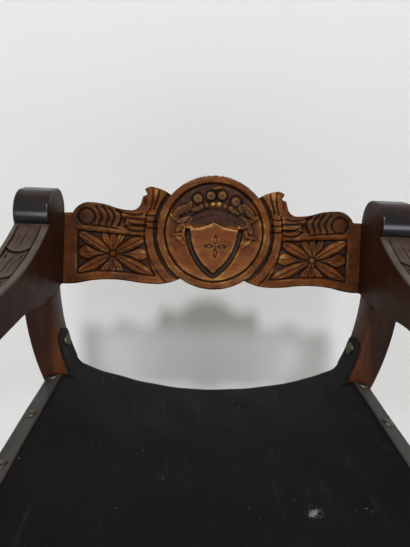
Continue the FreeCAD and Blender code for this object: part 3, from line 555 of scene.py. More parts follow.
def wing_relief(x, v, height):
    """The carving of one wing; x is counted outward from the middle."""
    panel = [(237.0, 94.0)] + sum((curve_through(run) for run in PANEL), [])
    edge = signed(x, v, panel)
    bed = -5.4 + 0.28 * waves(x, v, 14, 6, 20, 3)
    height = np.where(edge > -0.8, height + (bed - height) * smooth(-0.6, 1.8, edge), height)
    cx, cv = 176.0, 55.0
    flower, clear, others = (np.zeros_like(x) for _ in range(3))
    for angle, end, tip in LONG_PETALS:
        flower = np.maximum(flower, petal(x, v, cx, cv, angle, 4, end, 10.0, 5.6, tip, 1.9))
        clear = np.maximum(clear, petal(x, v, cx, cv, angle, 2, end + 4, 12.2, 1.0, tip))
    for angle, end, wide, tip, high in SHORT_PETALS:
        others = np.maximum(others, petal(x, v, cx, cv, angle, 3, end, wide, high, tip, 1.0))
    flower = np.where(clear > 0, flower, np.maximum(flower, others))
    reach = np.hypot(x - cx, v - cv)
    flower = np.where(reach < 7.4, flower * smooth(5.0, 7.4, reach), flower)
    flower = np.maximum(flower, 4.6 * np.sqrt(hump(reach, 5.2)))
    height = np.where(edge > 0.4, height + flower * smooth(0.2, 2.6, edge), height)
    height = np.minimum(height, 0.3)
    # The dark line round the panel and the thin moulding above it.
    height -= groove(x, v, panel + panel[:1], 1.9, 1.8) * (edge > -1.5)
    height = carve(x, v, height, (
        ([(238, 99.5), (205, 99.0), (170, 95.5), (128, 91.0)], 2.4, -1.2),
        ([(214, 104.0), (205, 103.0), (185, 101.5), (170, 99.5)], 1.8, 2.4)))
    # The volute eye with its ring groove and the flutes beside it.
    eye = np.hypot(x - 223.0, (v - 118.5) * 1.04)
    height -= 3.4 * bell(eye, 14.6, 1.5) * (x > 205)
    height = np.where(eye < 13.4, height - 1.5 + 0.8 * np.sqrt(hump(eye, 13.4)), height)
    for top, foot, wide, deep in FLUTES:
        mid = (top[0] + foot[0]) / 2 - 6.8
        cuts = [([top, (mid + 1.6, 126), (mid - 0.6, 117), (mid + 3.0, 108), foot], wide, deep)]
        if wide < 3:
            between = [(top[0] - 5.6, top[1] - 2), (mid - 5, 121), (mid - 4.2, 110)]
            cuts += [(between, 2.6, -0.8), (between, 0.9, 1.2)]
        height = carve(x, v, height, cuts)
    low = smooth(0, 14, x - 160) * smooth(0, 10, 206 - x) * smooth(103, 112, v)
    height -= 0.9 * low * smooth(0, 6, 139 - v)
    # The hollow and the folded leaf towards the medallion, and the crest's ear.
    for deep, *place in ((5.4, 157.5, 114.5, 3.6, 6.5), (3.2, 150, 104, 10, 3.2),
                         (2.4, 122, 150, 2.6, 9)):
        height -= deep * spot(x, v, *place)
    height = (carve(x, v, height, LEAF_CUTS) + 0.9 * leaf(x, v, 138, 111.5, 4, 17, 4.2, 1.4)
              + 0.9 * leaf(x, v, 137, 101.0, 8, 17, 3.8, 1.4))
    # The plain band beside the medallion, with its three cuts.
    height -= 2.4 * bell(disc_reach(x, v), 121.6, 1.4) * (v > 6) * (v < 132) * (x > 60)
    for level in (123.5, 112.5, 101.5):
        line = [(103.0, level + 0.8), (111, level), (120, level + 1.0)]
        height -= groove(x, v, line, 1.9, 2.8)
    return height


# Forms of the medallion. Leaves: place, angle, half length, half width, height and vein.
LEAVES = (
    (-60, 134, 38, 17, 8.5, 3.8, 0.9), (-66, 121, 150, 14, 6.5, 3.0, 0.6),
    (-52, 119, 20, 15, 5.5, 4.2, 0.7), (-47, 108, -20, 12, 5.0, 3.6, 0.5),
    (-60, 106, 60, 11, 5.5, 3.0, 0.5), (-53, 98, 80, 10, 4.4, 2.8, 0.5),
    (-66, 93, 6, 11, 3.4, 2.6, 0.0), (-58, 83, -38, 12, 4.0, 2.2, 0.6),
    (-46, 141, 62, 12, 6.0, 3.2, 0.8), (-33, 138, 20, 10, 5.0, 2.6, 0.5),
    (60, 136, 130, 19, 7.4, 4.2, 0.9), (66, 122, 30, 13, 6.0, 3.0, 0.6),
    (53, 121, 150, 13, 5.5, 3.6, 0.6), (50, 110, 15, 11, 5.0, 3.4, 0.5),
    (62, 107, 110, 12, 5.5, 3.2, 0.6), (57, 97, 95, 9, 4.2, 2.8, 0.5),
    (66, 91, -10, 11, 3.6, 3.0, 0.0), (58, 80, 42, 13, 3.6, 2.4, 0.5),
    (46, 142, 112, 11, 5.5, 3.0, 0.7), (34, 136, 160, 10, 4.6, 2.4, 0.5),
    (3.3, 176, 10, 9, 3.6, 3.0, 0.6))
# Beads: place, radius and height. Lumps: the same, and the radius of their hollow.
BEADS = (
    (-3.2, 147.6, 4.0, 4.8), (7.6, 148.0, 4.2, 4.8), (-24, 142.5, 5.2, 3.2),
    (-14, 145.5, 4.6, 3.0), (18, 145.5, 4.6, 3.0), (28, 141.5, 5.0, 3.2))
LUMPS = (
    (-30, 156.5, 8.6, 4.4, 11.0), (-7.2, 161.5, 8.4, 4.6, 10.6),
    (12.0, 163.0, 8.4, 4.6, 10.6), (36.5, 153.5, 8.6, 4.4, 11.0))


def medallion_relief(x, v, height):
    """The disc with its ring, shield, coronet, beads and leaves."""
    reach = disc_reach(x, v)
    # Outside the disc: a dark hollow that follows it.
    moat = smooth(109.0, 103.5, reach) * (0.45 + 0.55 * smooth(10, 60, v))
    height = np.where(reach < 112, height - 4.2 * moat, height)
    ring = 4.0 - 1.3 * np.clip(np.abs(reach - 93.7) / 6.3, 0, 1) ** 3
    bed = -1.2 + 1.0 * smooth(60, 0, reach)
    bed += 0.10 * np.sin((x * 0.8 + v) / 3.4 + 0.8 * np.sin(x / 11)) * (v > 60)
    bed += 0.16 * waves(x, v, 16, 12, 34, 5)
    inner = bed + (ring - bed) * smooth(85.8, 88.8, reach) - 2.6 * bell(reach, 86.0, 1.25)
    dish = 2.1 * smooth(62.0, 84.0, reach) - 0.9 * smooth(80.0, 85.2, reach)
    inner += np.where(reach < 85.2, dish, 0)
    form = np.zeros_like(x)
    for row in LEAVES:
        form = np.maximum(form, leaf(x, v, *row))
    for cx, cv, radius, high in BEADS:
        form = np.maximum(form, high * bead(x, v, cx, cv, radius))
    for cx, cv, radius, high, _ in LUMPS:
        lump = high * bead(x, v, cx, cv, radius) - 1.5 * spot(x, v, cx, cv, 3.4, 3.0)
        form = np.maximum(form, lump)
    for cx, cv, _, _, hollow in LUMPS:
        away = np.hypot(x - cx, v - cv)
        inner -= 1.4 * bell(away, hollow - 1.2, 1.7) * (form < 0.4)
    inner += form * smooth(87, 82, reach)
    # The arched band of the coronet above the shield.
    arch = curve_through([(-47, 112.5), (-38, 120.5), (-20, 129.0), (0, 132.5),
                          (20, 129.5), (40, 121.5), (50, 115.0)])
    away = line_distance(x, v, arch)
    inner = np.where(away < 5.6, np.maximum(inner * 0.35 - 1.1, -2.4)
                     + 1.1 * smooth(5.6, 2.0, away), inner)
    inner -= groove(x, v, [(px, py + 7.2) for px, py in arch], 1.6, 1.4)
    # The shield: flat, with bevelled top edges and a deep channel along its sides.
    foot, tall = 26.0, 80.0
    shield = arc_route((0.0, foot), [(42.0, 104.5, 1.22 * tall, 1), (0.0, 116.5, 0.95 * tall, -1),
                                     (-42.0, 104.5, 0.95 * tall, -1), (0.0, foot, 1.22 * tall, 1)])
    edge = signed(x, v, shield)
    below = smooth(108, 98, v)
    channel = -5.4 * smooth(-9.6, -7.8, edge) * below
    inner = np.where((edge < 0) & (edge > -9.4) & (v < 108),
                     inner * (1 - smooth(-9.4, -7.6, edge) * below) + channel, inner)
    face = 2.5 + 0.12 * waves(x, v, 10, 14, 40, 9)
    face -= 1.5 * np.clip(1 - edge / 2.2, 0, 1) ** 2 * (v < 104)
    upper = smooth(98, 104, v) * np.clip(1 - edge / 4.2, 0, 1)
    inner = np.where(edge > 0, face + 1.2 * upper * smooth(0, 1.2, edge), inner)
    # The small charge of four cut petals.
    cx, cv = 3.0, 73.9
    for angle in (0, 90, 180, 270):
        a = radians(angle)
        start, core, cut, end = ((cx + r * cos(a), cv + r * sin(a)) for r in (4.5, 10.8, 12, 19))
        inner = (inner - 1.9 * np.sqrt(np.clip(leaf(x, v, *cut, angle, 8.6, 3.9, 1.0), 0, 1))
                 + 1.5 * np.clip(leaf(x, v, *core, angle, 4.6, 2.0, 1.0), 0, 1))
        inner -= 0.8 * bell(line_distance(x, v, [start, end]), 0, 0.7) * (edge > 4)
    inner -= 1.0 * bell(np.hypot(x - cx, v - cv), 0, 2.2)
    return np.where(reach < DISC_RADIUS, inner, height)


def rail_relief(x, v):
    """Height of the rail's front above the plain board, in millimetres."""
    height = np.zeros_like(x)
    for side in (1, -1):
        mask = x * side > 60
        height = np.where(mask, wing_relief(np.where(mask, x * side, 200.0), v, height), height)
    height = medallion_relief(x, v, height)
    # The rounded edge, and a slight unevenness.
    soft = np.clip(1 - np.clip(board_signed(x, v), 0, None) / 3.0, 0, 1)
    return height - 2.6 * soft ** 2.2 + 0.16 * waves(x, v, 20, 9, 60, 21)


def rail_tone(x, v, height, wide_mean):
    """How light the stained wood is: dark wings and crown, bright shield and field;
    with painted shade in the hollows and painted highlights on a few raised spots.
    """
    far, reach = np.abs(x), disc_reach(x, v)
    wing = 0.72 - 0.10 * smooth(120, 150, far) - 0.24 * smooth(205, 245, far)
    wing -= 0.18 * smooth(99, 106, v) * smooth(122, 134, far) * smooth(250, 236, far)
    wing -= 0.10 * smooth(150, 165, far) * smooth(108, 118, v)
    # Painted shade, partly dirt, in the moat round the disc.
    wing -= 0.20 * smooth(109.5, 105.0, reach) * smooth(-4, 12, v)
    ring = 0.76 - 0.08 * smooth(90, 190, v)
    tone = np.where(reach > 100, wing, np.where(reach > 86, ring, 0.95))
    crown = smooth(1.22, 0.80, np.hypot(x / 74.0, (v - 148.0) / 44.0)) * smooth(87, 84, reach)
    tone -= 0.76 * crown * smooth(108, 118, v + 0.16 * far)
    # Painted shade, partly dirt, in the channel beside the shield and the hollows above it.
    channel_dirt_and_shade = smooth(44, 52, far) * smooth(84, 80, reach) * smooth(78, 92, v)
    tone -= 0.46 * channel_dirt_and_shade * (1 - crown)
    tone = tone + 0.12 * waves(x, v, 14, 18, 70, 33) + 0.07 * waves(x, v, 14, 6, 16, 35)
    # Painted highlights on the two middle beads and on the shield's top edges.
    for cx, cv, a in ((-3.2, 147.6, 4.6), (7.6, 148.0, 4.8), (-30, 104.5, 9.0), (28, 105.5, 9.0)):
        tone += 0.75 * spot(x, v, cx, cv, a, 4.0, 2)
    # Painted highlights on the raised forms above the shield, so that the ground between them
    # stays dark.
    raised_highlight = smooth(0.4, 2.0, height - wide_mean) * smooth(86, 82, reach) * smooth(84, 100, v)
    return np.clip(np.clip(tone, 0.05, 1.0) + 0.26 * raised_highlight, 0.05, 1.0)


# Painted highlights: place, half length, half height and strength; the second row is on both
# wings.
GLINTS = (
    (-3.2, 147.6, 4.4, 3.8, 0.60), (7.6, 148.0, 4.6, 4.0, 0.64), (-30, 158, 5.0, 4.0, 0.16),
    (36, 155, 5.0, 4.0, 0.20), (-7, 163, 5.0, 4.0, 0.12), (12, 165, 5.0, 4.0, 0.14),
    (-30, 104.5, 14.0, 2.6, 0.52), (-12, 109.0, 10.0, 2.2, 0.36), (28, 105.5, 14.0, 2.4, 0.44),
    (36, 140, 8.0, 8.0, 0.14), (0, 17, 24.0, 3.0, 0.30), (-60, 88, 12.0, 3.0, 0.22),
    (58, 82, 12.0, 3.2, 0.20), (-104, 164, 7.0, 8.0, 0.22), (104, 165, 7.0, 7.0, 0.28))
WING_GLINTS = (
    (158, 124, 9.0, 4.0, 0.26), (150, 112, 8.0, 3.0, 0.20), (122, 62, 6.0, 5.0, 0.34),
    (112, 32, 9.0, 5.0, 0.30), (150, 44, 7.0, 4.0, 0.16), (196, 130, 10.0, 4.0, 0.14))


def rail_glints(x, v, crest):
    """Painted highlights as golden spots: on the coronet, the shield's top edge, the field's lower
    rim and on both wings; uneven rubbing adds patches on the crests.
    """
    reach = disc_reach(x, v)
    glint = 0.06 * (smooth(66, 74, reach) * smooth(85.5, 82.5, reach) * smooth(52, 22, v))
    for cx, cv, a, b, much in GLINTS:
        glint += much * spot(x, v, cx, cv, a, b, 1.5)
    for cx, cv, a, b, much in WING_GLINTS:
        glint += much * spot(np.abs(x), v, cx, cv, a, b)
    patches = smooth(0.1, 0.9, waves(x, v, 14, 14, 50, 57))
    return glint + 0.15 * patches * smooth(0.15, 0.6, crest)


def rail_wear(x, v, height, wide_mean):
    """How far the wood is rubbed: high parts light, recesses dark, partly dirt and partly painted
    shade;
    the painted highlights of rail_glints go on top.
    """
    near_mean = blur(height, 4)
    # High parts lighter and recesses darker: rubbing and dirt, with painted shade in the recesses.
    wear = (0.60 + np.clip(0.085 * (height - wide_mean), -0.34, 0.05)
            + np.clip(0.19 * (height - near_mean), -0.50, 0.24)
            + np.clip(0.030 * height, -0.24, 0.02))
    reach = disc_reach(x, v)
    wear = np.where(reach > 88.5, np.minimum(wear, 0.665), wear)
    wear = np.where((reach < 86) & (v < 99), np.minimum(wear, 0.695), wear)
    return wear + rail_glints(x, v, height - near_mean)


def notch_mask(x, v):
    """The notches behind the rail's ends, in which the studs sit."""
    radius, slant = 4.3, radians(42)
    far = np.abs(x)
    inner = 288 - radius / cos(slant) - np.clip(18 - v, 0, None) * tan(slant)
    low = (v < 18) & (far < 288 + radius) & (far > inner)
    return low | (np.hypot(far - 288, v - 18) < radius)


def on_rail(x, v, w):
    """A place on the leaning rail, in metres."""
    return np.stack([RAIL_BASE[0] + x, RAIL_BASE[1] + v * LEAN_SIN - w * LEAN_COS,
                     RAIL_BASE[2] + v * LEAN_COS + w * LEAN_SIN], -1) * MM


def build_rail():
    cell, step = 1.25, 0.05
    gx, gv = np.meshgrid(np.arange(-301.25, 301.3, cell), np.arange(-7.5, 202.6, cell),
                         indexing="ij")
    away = board_signed(gx, gv)
    # Snap the points next to the silhouette onto it.
    grad_x, grad_v = ((board_signed(gx + dx, gv + dv) - board_signed(gx - dx, gv - dv))
                      / (2 * step) for dx, dv in ((step, 0), (0, step)))
    scale = np.maximum(np.hypot(grad_x, grad_v), 0.5)
    near = np.abs(away) < 0.72 * cell
    px = np.where(near, gx - away * grad_x / scale ** 2, gx)
    pv = np.where(near, gv - away * grad_v / scale ** 2, gv)
    halves = slice(None, -1), slice(1, None)
    corners = [(i, j) for j in halves for i in halves]
    cells = np.all([((away > 0) | near)[c] for c in corners], axis=0)
    cells &= sum(away[c] for c in corners) / 4 > -0.25 * cell
    used = np.zeros(gx.shape, bool)
    for corner in corners:
        used[corner] |= cells
    number = np.cumsum(used).reshape(used.shape) - 1
    height = rail_relief(px, pv)
    wide_mean = blur(height, 22)
    tone = rail_tone(px, pv, height, wide_mean)
    notch = notch_mask(px, pv)
    wear = np.where(notch, 0.3, rail_wear(px, pv, height, wide_mean))
    height = np.where(notch, -14.0, height)
    front = on_rail(px[used], pv[used], height[used])
    back = on_rail(px[used], pv[used], -RAIL_THICK)
    verts = [tuple(p) for p in front]
    wears, tones = list(wear[used]), list(tone[used])
    i, j = np.nonzero(cells)
    quads = np.stack([number[i, j], number[i + 1, j], number[i + 1, j + 1], number[i, j + 1]],
                     -1).tolist()
    faces = [tuple(quad) for quad in quads]
    # Side walls and the flat back, from the edges that only one quad has.
    walked = [(a, b) for quad in quads for a, b in zip(quad, quad[1:] + quad[:1])]
    shared = set(walked)
    after = {a: b for a, b in walked if (b, a) not in shared}

    def rim(share, worn, stain_and_shade):
        """A copy of the open edge, moved towards the back by a share of the thickness."""
        ids = {}
        for a in after:
            ids[a] = len(verts)
            verts.append(tuple(front[a] * (1 - share) + back[a] * share))
            wears.append(worn)
            tones.append(stain_and_shade)
        return ids

    low, lip = rim(1.0, 0.40, 0.55), rim(0.82, 0.46, 0.60)
    for a, b in after.items():
        faces += [(b, a, lip[a], lip[b]), (lip[b], lip[a], low[a], low[b])]
    # One large face closes the back along the longest open edge.
    left = dict(after)
    while left:
        ring = [next(iter(left))]
        here = left.pop(ring[0])
        while here != ring[0]:
            ring.append(here)
            here = left.pop(here)
        if len(ring) > 400:
            faces.append(tuple(low[a] for a in ring))
    rail = new_piece("carved_back_rail", verts, faces, RAIL_WOOD, wear=wears, tone=tones)
    for polygon in rail.data.polygons:
        polygon.use_smooth = len(polygon.vertices) == 4
    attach(rail, "back_rail")
    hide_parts("back_rail")


build_rail()


# Materials and soft edges on the carried-over wooden parts

def dress(node, material, bevel):
    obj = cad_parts[node]
    if not obj.material_slots:
        obj.data.materials.append(material)
    for slot in obj.material_slots:
        slot.material = material
    obj.modifiers.new("weld", "WELD").merge_threshold = 0.00002
    soft = obj.modifiers.new("bevel", "BEVEL")
    soft.width = bevel
    soft.segments = 2
    soft.limit_method = "ANGLE"
    soft.angle_limit = radians(35)


for side in ("left", "right"):
    for end in ("front", "rear"):
        dress("%s_%s_leg" % (side, end), RED_WOOD, 0.0022)
        dress("%s_%s_foot" % (side, end), FLOOR_WOOD, 0.0015)
    dress(side + "_runner", FLOOR_WOOD, 0.0022)
    dress(side + "_seat_rail", FLOOR_WOOD, 0.0012)
    dress(side + "_rail_stud", STUD_STEEL, 0.0006)
dress("pivot_stretcher", FLOOR_WOOD, 0.0008)
dress("rear_cap", BOSS_WOOD, 0.0012)
dress("front_rosette", BOSS_WOOD, 0.0009)


# The arms, with the carved channel along their tops

def arm_profile():
    """The side view of an arm in three runs: the rear end, the carved top, the underside."""
    corner, post = 38.0, 165.0
    slope = (post - corner * (1 + LEAN_SIN)) / LEAN_COS
    corner_y = slope * LEAN_SIN - corner * LEAN_COS
    roll, nose = 37.0, 36.0
    roll_z = post - roll
    end = radians(22)
    nose_y, nose_z = nose - 522.0, 13.0 + nose
    drop, run = 109.0 - 68.0, 261.0 - 76.0
    crease = sqrt(nose * nose - (68.0 - nose_z) ** 2)
    run_half, rise_half = (203.0 - 86.0) / 2, 6.5
    ease = (run_half ** 2 + rise_half ** 2) / (2 * rise_half)
    crease_point = (-29 - roll * cos(end), roll_z - roll * sin(end))
    head = arc_route((0.0, 0.0), [
        (slope * LEAN_SIN, slope * LEAN_COS), (corner_y, post, corner, 1), (-29.0, post),
        (-29 - roll, roll_z, roll, 1), (*crease_point, roll, 1)], 1.5)
    top = arc_route(crease_point, [
        (-76.0, 109.0), (-261.0, 68.0, (run * run + drop * drop) / (2 * drop), -1),
        (nose_y + crease, 68.0)], 1.5)
    foot = arc_route((nose_y + crease, 68.0), [
        (nose_y, nose_z + nose, nose, 1), (nose_y - nose, nose_z, nose, 1),
        (nose_y, nose_z - nose, nose, 1), (-203.0, 13.0),
        (-86.0 - run_half, rise_half, ease, -1), (-86.0, 0.0, ease, 1), (0.0, 0.0)], 2.0)
    return head, top, foot


def arm_carving(s, w, length):
    """Depth of the carving on an arm's top, at s along from the crease, w across."""
    u = (w - ARM_WIDTH / 2 - 1.5) / 17.5
    channel = smooth(9.0, 10.8, w) * smooth(6.0, 7.8, ARM_WIDTH - w) * smooth(3.0, 8.0, s)
    channel *= smooth(3.0, 6.0, length - s)
    # Each scale rises towards its round end and drops there to the next one.
    shifted = (s - 70.0 + 13.0 * np.abs(u) ** 2.4) / 78.0
    phase = shifted - np.floor(shifted)
    depth = 3.3 - 2.0 * phase ** 0.8 + 1.3 * bell(phase, 0.015, 0.03)
    vein = bell(u, 0, 0.055) * smooth(0.05, 0.25, phase) * smooth(1.0, 0.7, phase)
    flute = bell(np.abs(u), 0.42, 0.10) * smooth(0.1, 0.4, phase) * smooth(0.95, 0.6, phase)
    depth = depth + 1.1 * vein + 0.7 * flute - 0.5 * (1 - u * u)
    depth += 1.6 * spot(np.abs(u), phase, 0.62, 0.22, 0.11, 0.09)
    # Upright flutes below the crease.
    near = smooth(30.0, 20.0, s)
    comb = 0.5 - 0.5 * np.cos(2 * pi * (w - 11.0) / 11.5)
    depth = depth * (1 - near) + near * (1.0 + 0.9 * comb ** 2 * smooth(4.0, 14.0, s))
    # The dark line beside each border.
    depth += 1.2 * (bell(w, 11.4, 0.9) + bell(ARM_WIDTH - w, 8.4, 0.9))
    depth += 0.10 * waves(s, w, 14, 8, 40, 77)
    return np.clip(depth, 0.2, 6.0) * channel


def build_arm(word, side):
    head, top, foot = (resample(run, spacing)
                       for run, spacing in zip(arm_profile(), (2.0, 1.3, 3.0)))
    ring = np.concatenate([head[:-1], top[:-1], foot[:-1]])
    first, last = len(head) - 1, len(head) + len(top) - 2
    n = len(ring)
    ahead, behind = np.roll(ring, -1, 0) - ring, ring - np.roll(ring, 1, 0)
    unit = sum(way / np.linalg.norm(way, axis=1)[:, None] for way in (ahead, behind))
    unit /= np.linalg.norm(unit, axis=1)[:, None]
    # The outline is walked with the wood on its left.
    inward = np.stack([-unit[:, 1], unit[:, 0]], -1)
    # Places across the top, with the inset of the rounded edges.
    soft = 2.6
    edge = [(0.0, soft + 1.4)] + [(soft - soft * cos(a), soft - soft * sin(a))
                                  for a in np.linspace(0, pi / 2, 6)]
    across = edge + [(w, 0.0) for w in np.linspace(soft + 0.9, ARM_WIDTH - soft - 0.9, 46)]
    across += [(ARM_WIDTH - w, inset) for w, inset in reversed(edge)]
    ws, insets = np.array(across).T
    m = len(across)
    count = np.arange(n)
    on_top = ((count >= first) & (count <= last))[:, None]
    s = np.zeros(n)
    lengths = run_lengths(top)
    s[first:last + 1] = lengths[:last + 1 - first]
    ss, ww = np.meshgrid(s, ws, indexing="ij")
    depth = arm_carving(ss, ww, lengths[-1]) * on_top
    # How rubbed the carving and its plain borders are, with painted shade in the carving's hollows
    # (partly dirt) and along the crease under the roll, and the polish of the rear end.
    cavity = blur(depth, 14) - depth
    wear = np.where(on_top, 0.71 + 0.08 * cavity - 0.035 * depth, 0.50)
    wear -= 0.40 * smooth(0.40, 0.85, -cavity) * on_top
    wear = np.where(on_top & ((ww < 10) | (ww > ARM_WIDTH - 7)), 0.78, wear)
    wear = np.where(on_top, wear - 0.14 * smooth(10.0, 2.0, ss), wear)
    polished = (count < first)[:, None] + 0 * ww
    # The polished rear end is darker towards the crease: painted shade on the roll's lower front.
    low = smooth(first - 26, first - 8, count)[:, None]
    wear = np.where(polished > 0.5, 0.27 - 0.15 * low, wear)
    wear += 0.0075 * waves(ss, ww, 8, 25, 90, 5 + side, count[:, None])
    total = insets + depth
    # The places across run from the arm's inner edge outward on both sides.
    spots = np.stack([side * (ARM_GAP / 2 + ww),
                      BACK + ring[:, None, 0] + inward[:, None, 0] * total,
                      ARM_UNDER + ring[:, None, 1] + inward[:, None, 1] * total], -1) * MM
    verts = list(spots.reshape(-1, 3))
    wears, tones = list(wear.reshape(-1)), list(polished.reshape(-1))
    faces = []
    for i in range(n):
        k = (i + 1) % n
        for j in range(m - 1):
            quad = (i * m + j, k * m + j, k * m + j + 1, i * m + j + 1)
            faces.append(quad if side > 0 else quad[::-1])
    # The two flat sides.
    for j in (0, m - 1):
        faces.append(tuple(range(len(verts), len(verts) + n)))
        verts += list(spots[:, j])
        wears += [0.50] * n
        tones += [0.0] * n
    arm = new_piece(word + "_arm_carved", verts, faces, ARM_WOOD, wear=wears, tone=tones)
    mesh = bmesh.new()
    mesh.from_mesh(arm.data)
    bmesh.ops.recalc_face_normals(mesh, faces=mesh.faces)
    mesh.to_mesh(arm.data)
    mesh.free()
    for polygon in arm.data.polygons:
        polygon.use_smooth = len(polygon.vertices) == 4
    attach(arm, word + "_frame")
    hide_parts(word + "_arm")


for word, side in SIDES:
    build_arm(word, side)


# The leather seat, in two halves that meet in the middle

def upper_point(turn, offset):
    reach = LEG_UPPER + offset
    return np.array([LEG_TOP - LEG_UPPER + reach * cos(turn), ARM_UNDER - reach * sin(turn)])


def seat_lines():
    """The sheet's middle line in three runs: the hanging part that all rows share,
    the way up over the seat rail, and the way up the inner face of a leg."""
    sag, radius, swing = 50.0, 590.0, 0.78 * 260.0
    low_z = upper_point(SEAT_TURN, 0)[1] - sag
    mid = [np.array([radius * sin(a), low_z + radius * (1 - cos(a)) - LEATHER / 2])
           for a in np.linspace(0, asin(swing / radius), 40)]
    lift = (GAP + LEATHER / 2) * np.array([SEAT_SIN, SEAT_COS])
    lip, edge = upper_point(SEAT_TURN, -17.0) + lift, upper_point(SEAT_TURN, 15.0) + lift
    fork = mid[-1] * 0.42 + lip * 0.58 + np.array([0.5, -1.6])
    shared = resample([tuple(p) for p in mid[:-2]]
                      + curve_through([mid[-2], mid[-1], fork], 8)[8:], 6.0)
    over = curve_through([fork, (fork + lip) / 2 + np.array([0.2, -0.5]), lip], 10)
    over = resample(over + [tuple(edge)], 6.0)[1:]
    inset = -HALF_LEG - GAP - LEATHER / 2
    tip_turn, foot_turn = radians(10.2), radians(18.3)
    side = [tuple(upper_point(a, inset)) for a in np.linspace(foot_turn, tip_turn, 16)]
    bend = curve_through([mid[-1], fork, np.array(side[0]) * 0.62 + fork * 0.38
                          + np.array([2.2, -1.6]), side[0], side[1]], 10)[10:-10]
    up = resample(bend + side[1:], 4.0)[1:]
    return shared, over, up


SHARED_LINE, OVER_LINE, UP_LINE = seat_lines()


def tab_width(distance_to_tip, base):
    """Half width of a tab, round at its tip."""
    r = 17.0
    if distance_to_tip >= r:
        return base
    return base - r + sqrt(max(r * r - (r - distance_to_tip) ** 2, 0.0))


def half_seat(side):
    """One half of the sheet: rows from front to back, columns from the middle out."""
    verts, faces = [], []

    def add(x, y, z):
        swell = 1.1 * float(waves(x * side, y, 9, 60, 190, 31))
        z += swell * sin(pi * min(abs(x) / 240.0, 1.0))
        verts.append((side * x * MM, y * MM, z * MM))
        return len(verts) - 1

    joints = (FRONT_LEG_REAR + 0.6, REAR_LEG_FRONT - 0.6)
    front = np.linspace(FRONT + 0.4, joints[0], 13)
    middle = np.linspace(joints[0], joints[1], 60)
    rear = np.linspace(joints[1], BACK - 0.4, 13)
    ys = list(front[:-1]) + list(middle) + list(rear[1:])
    rows = [[add(x, y, z) for x, z in SHARED_LINE] for y in ys]
    faces += strips(rows, side < 0)
    over = [[rows[12 + i][-1]] + [add(x, y, z) for x, z in OVER_LINE]
            for i, y in enumerate(middle)]
    faces += strips(over, side < 0)
    # The tabs up the legs start from the same edge.
    lengths = run_lengths(np.vstack([SHARED_LINE[-1:], UP_LINE]))
    for base, spots in ((0, front), (12 + 59, rear)):
        centre, half = (spots[0] + spots[-1]) / 2, (spots[-1] - spots[0]) / 2
        part = []
        for i, y in enumerate(spots):
            row = [rows[base + i][-1]]
            for (x, z), away in zip(UP_LINE, lengths[1:]):
                wide = tab_width(lengths[-1] - away, half)
                neck = 1 - 0.10 * sin(pi * min(max((away - 30) / 70, 0), 1))
                row.append(add(x, centre + (y - centre) / half * wide * neck, z))
            part.append(row)
        faces += strips(part, side < 0)
    return verts, faces


def make_seat():
    for word, side in SIDES:
        obj = new_piece("leather_seat_" + word, *half_seat(side), SEAT_LEATHER)
        thicken(obj, LEATHER, 0.0)
        # Sharp edges where both halves meet, so that no shade shows in the middle.
        for vertex in obj.data.vertices:
            if abs(vertex.co.x) < 1e-4:
                vertex.co.x = 0.0
        for edge in obj.data.edges:
            if all(obj.data.vertices[v].co.x == 0.0 for v in edge.vertices):
                edge.use_edge_sharp = True
        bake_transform(obj)
        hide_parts("seat_leather")


make_seat()


# Bands, tacks and tab nails

BAND_HALF, BAND_THICK, BAND_LOW = 15.0, 2.6, LEATHER + 2 * GAP
TACK_Y = [(REAR_LEG_FRONT + FRONT_LEG_REAR) / 2
          + (1.5 - k) * 0.318 * (REAR_LEG_FRONT - FRONT_LEG_REAR) for k in range(4)]


def on_seat(side, y, height):
    """A place above the middle of a seat rail."""
    x, z = upper_point(SEAT_TURN, 0)
    return np.array([side * (x + height * SEAT_SIN), y, z + height * SEAT_COS])


def build_band(word, side):
    across = np.linspace(-BAND_HALF, BAND_HALF, 17)
    along = np.linspace(FRONT_LEG_REAR + 3.0, REAR_LEG_FRONT - 3.0, 120)
    outward = np.array([side * SEAT_COS, 0.0, -SEAT_SIN])
    verts = []
    for y in along:
        for a in across:
            top = BAND_THICK - 1.1 * max(0.0, abs(a) / BAND_HALF - 0.72) ** 2 / 0.28 ** 2
            top -= 0.70 * sum(exp(-(((y - q) / 11.0) ** 2 + (a / 11.0) ** 2)) for q in TACK_Y)
            wobble = 0.35 * sin(y / 23.0 + side) * (a / BAND_HALF) ** 3
            verts.append(tuple((on_seat(side, y, BAND_LOW + top) + outward * (a + wobble)) * MM))
    n = len(across)
    faces = strips([range(i * n, i * n + n) for i in range(len(along))], side < 0)
    obj = new_piece(word + "_band_strip", verts, faces, BAND_LEATHER)
    thicken(obj, 1.7, -1.0)
    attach(obj, word + "_frame")
    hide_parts(word + "_seat_band")


def dome(name, centre, normal, radius, height, body, seed):
    """A hand-made round nail head, slightly uneven, in place of the node of that name."""
    turn = Vector(normal).normalized().to_track_quat("Z", "Y").to_matrix()
    lean = np.random.default_rng(seed).uniform(-0.03, 0.03, 2)
    profile = [(1.0, 0.0), (1.0, 0.16), (0.965, 0.30)]
    profile += [(cos(a), 0.30 + 0.70 * sin(a)) for a in np.linspace(0.32, 1.5, 9)]
    verts = []

    def add(x, y, z):
        verts.append(tuple((np.array(centre) + np.array(turn @ Vector((x, y, z)))) * MM))

    around = 40
    for r, h in profile:
        for k in range(around):
            a = 2 * pi * k / around
            wobble = 1 + 0.018 * sin(3 * a + seed) + 0.012 * sin(5 * a + 2 * seed)
            x, y = radius * r * wobble * cos(a), radius * r * wobble * sin(a)
            add(x, y, max(height * h + x * lean[0] + y * lean[1], 0.0))
    add(0, 0, height)
    rows = [[i * around + k % around for k in range(around + 1)] for i in range(len(profile))]
    faces = strips(rows)
    faces += [(a, b, len(verts) - 1) for a, b in zip(rows[-1], rows[-1][1:])]
    faces.append(tuple(reversed(range(around))))
    obj = new_piece(name + "_head", verts, faces, NAIL_BRASS)
    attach(obj, body)
    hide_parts(name)


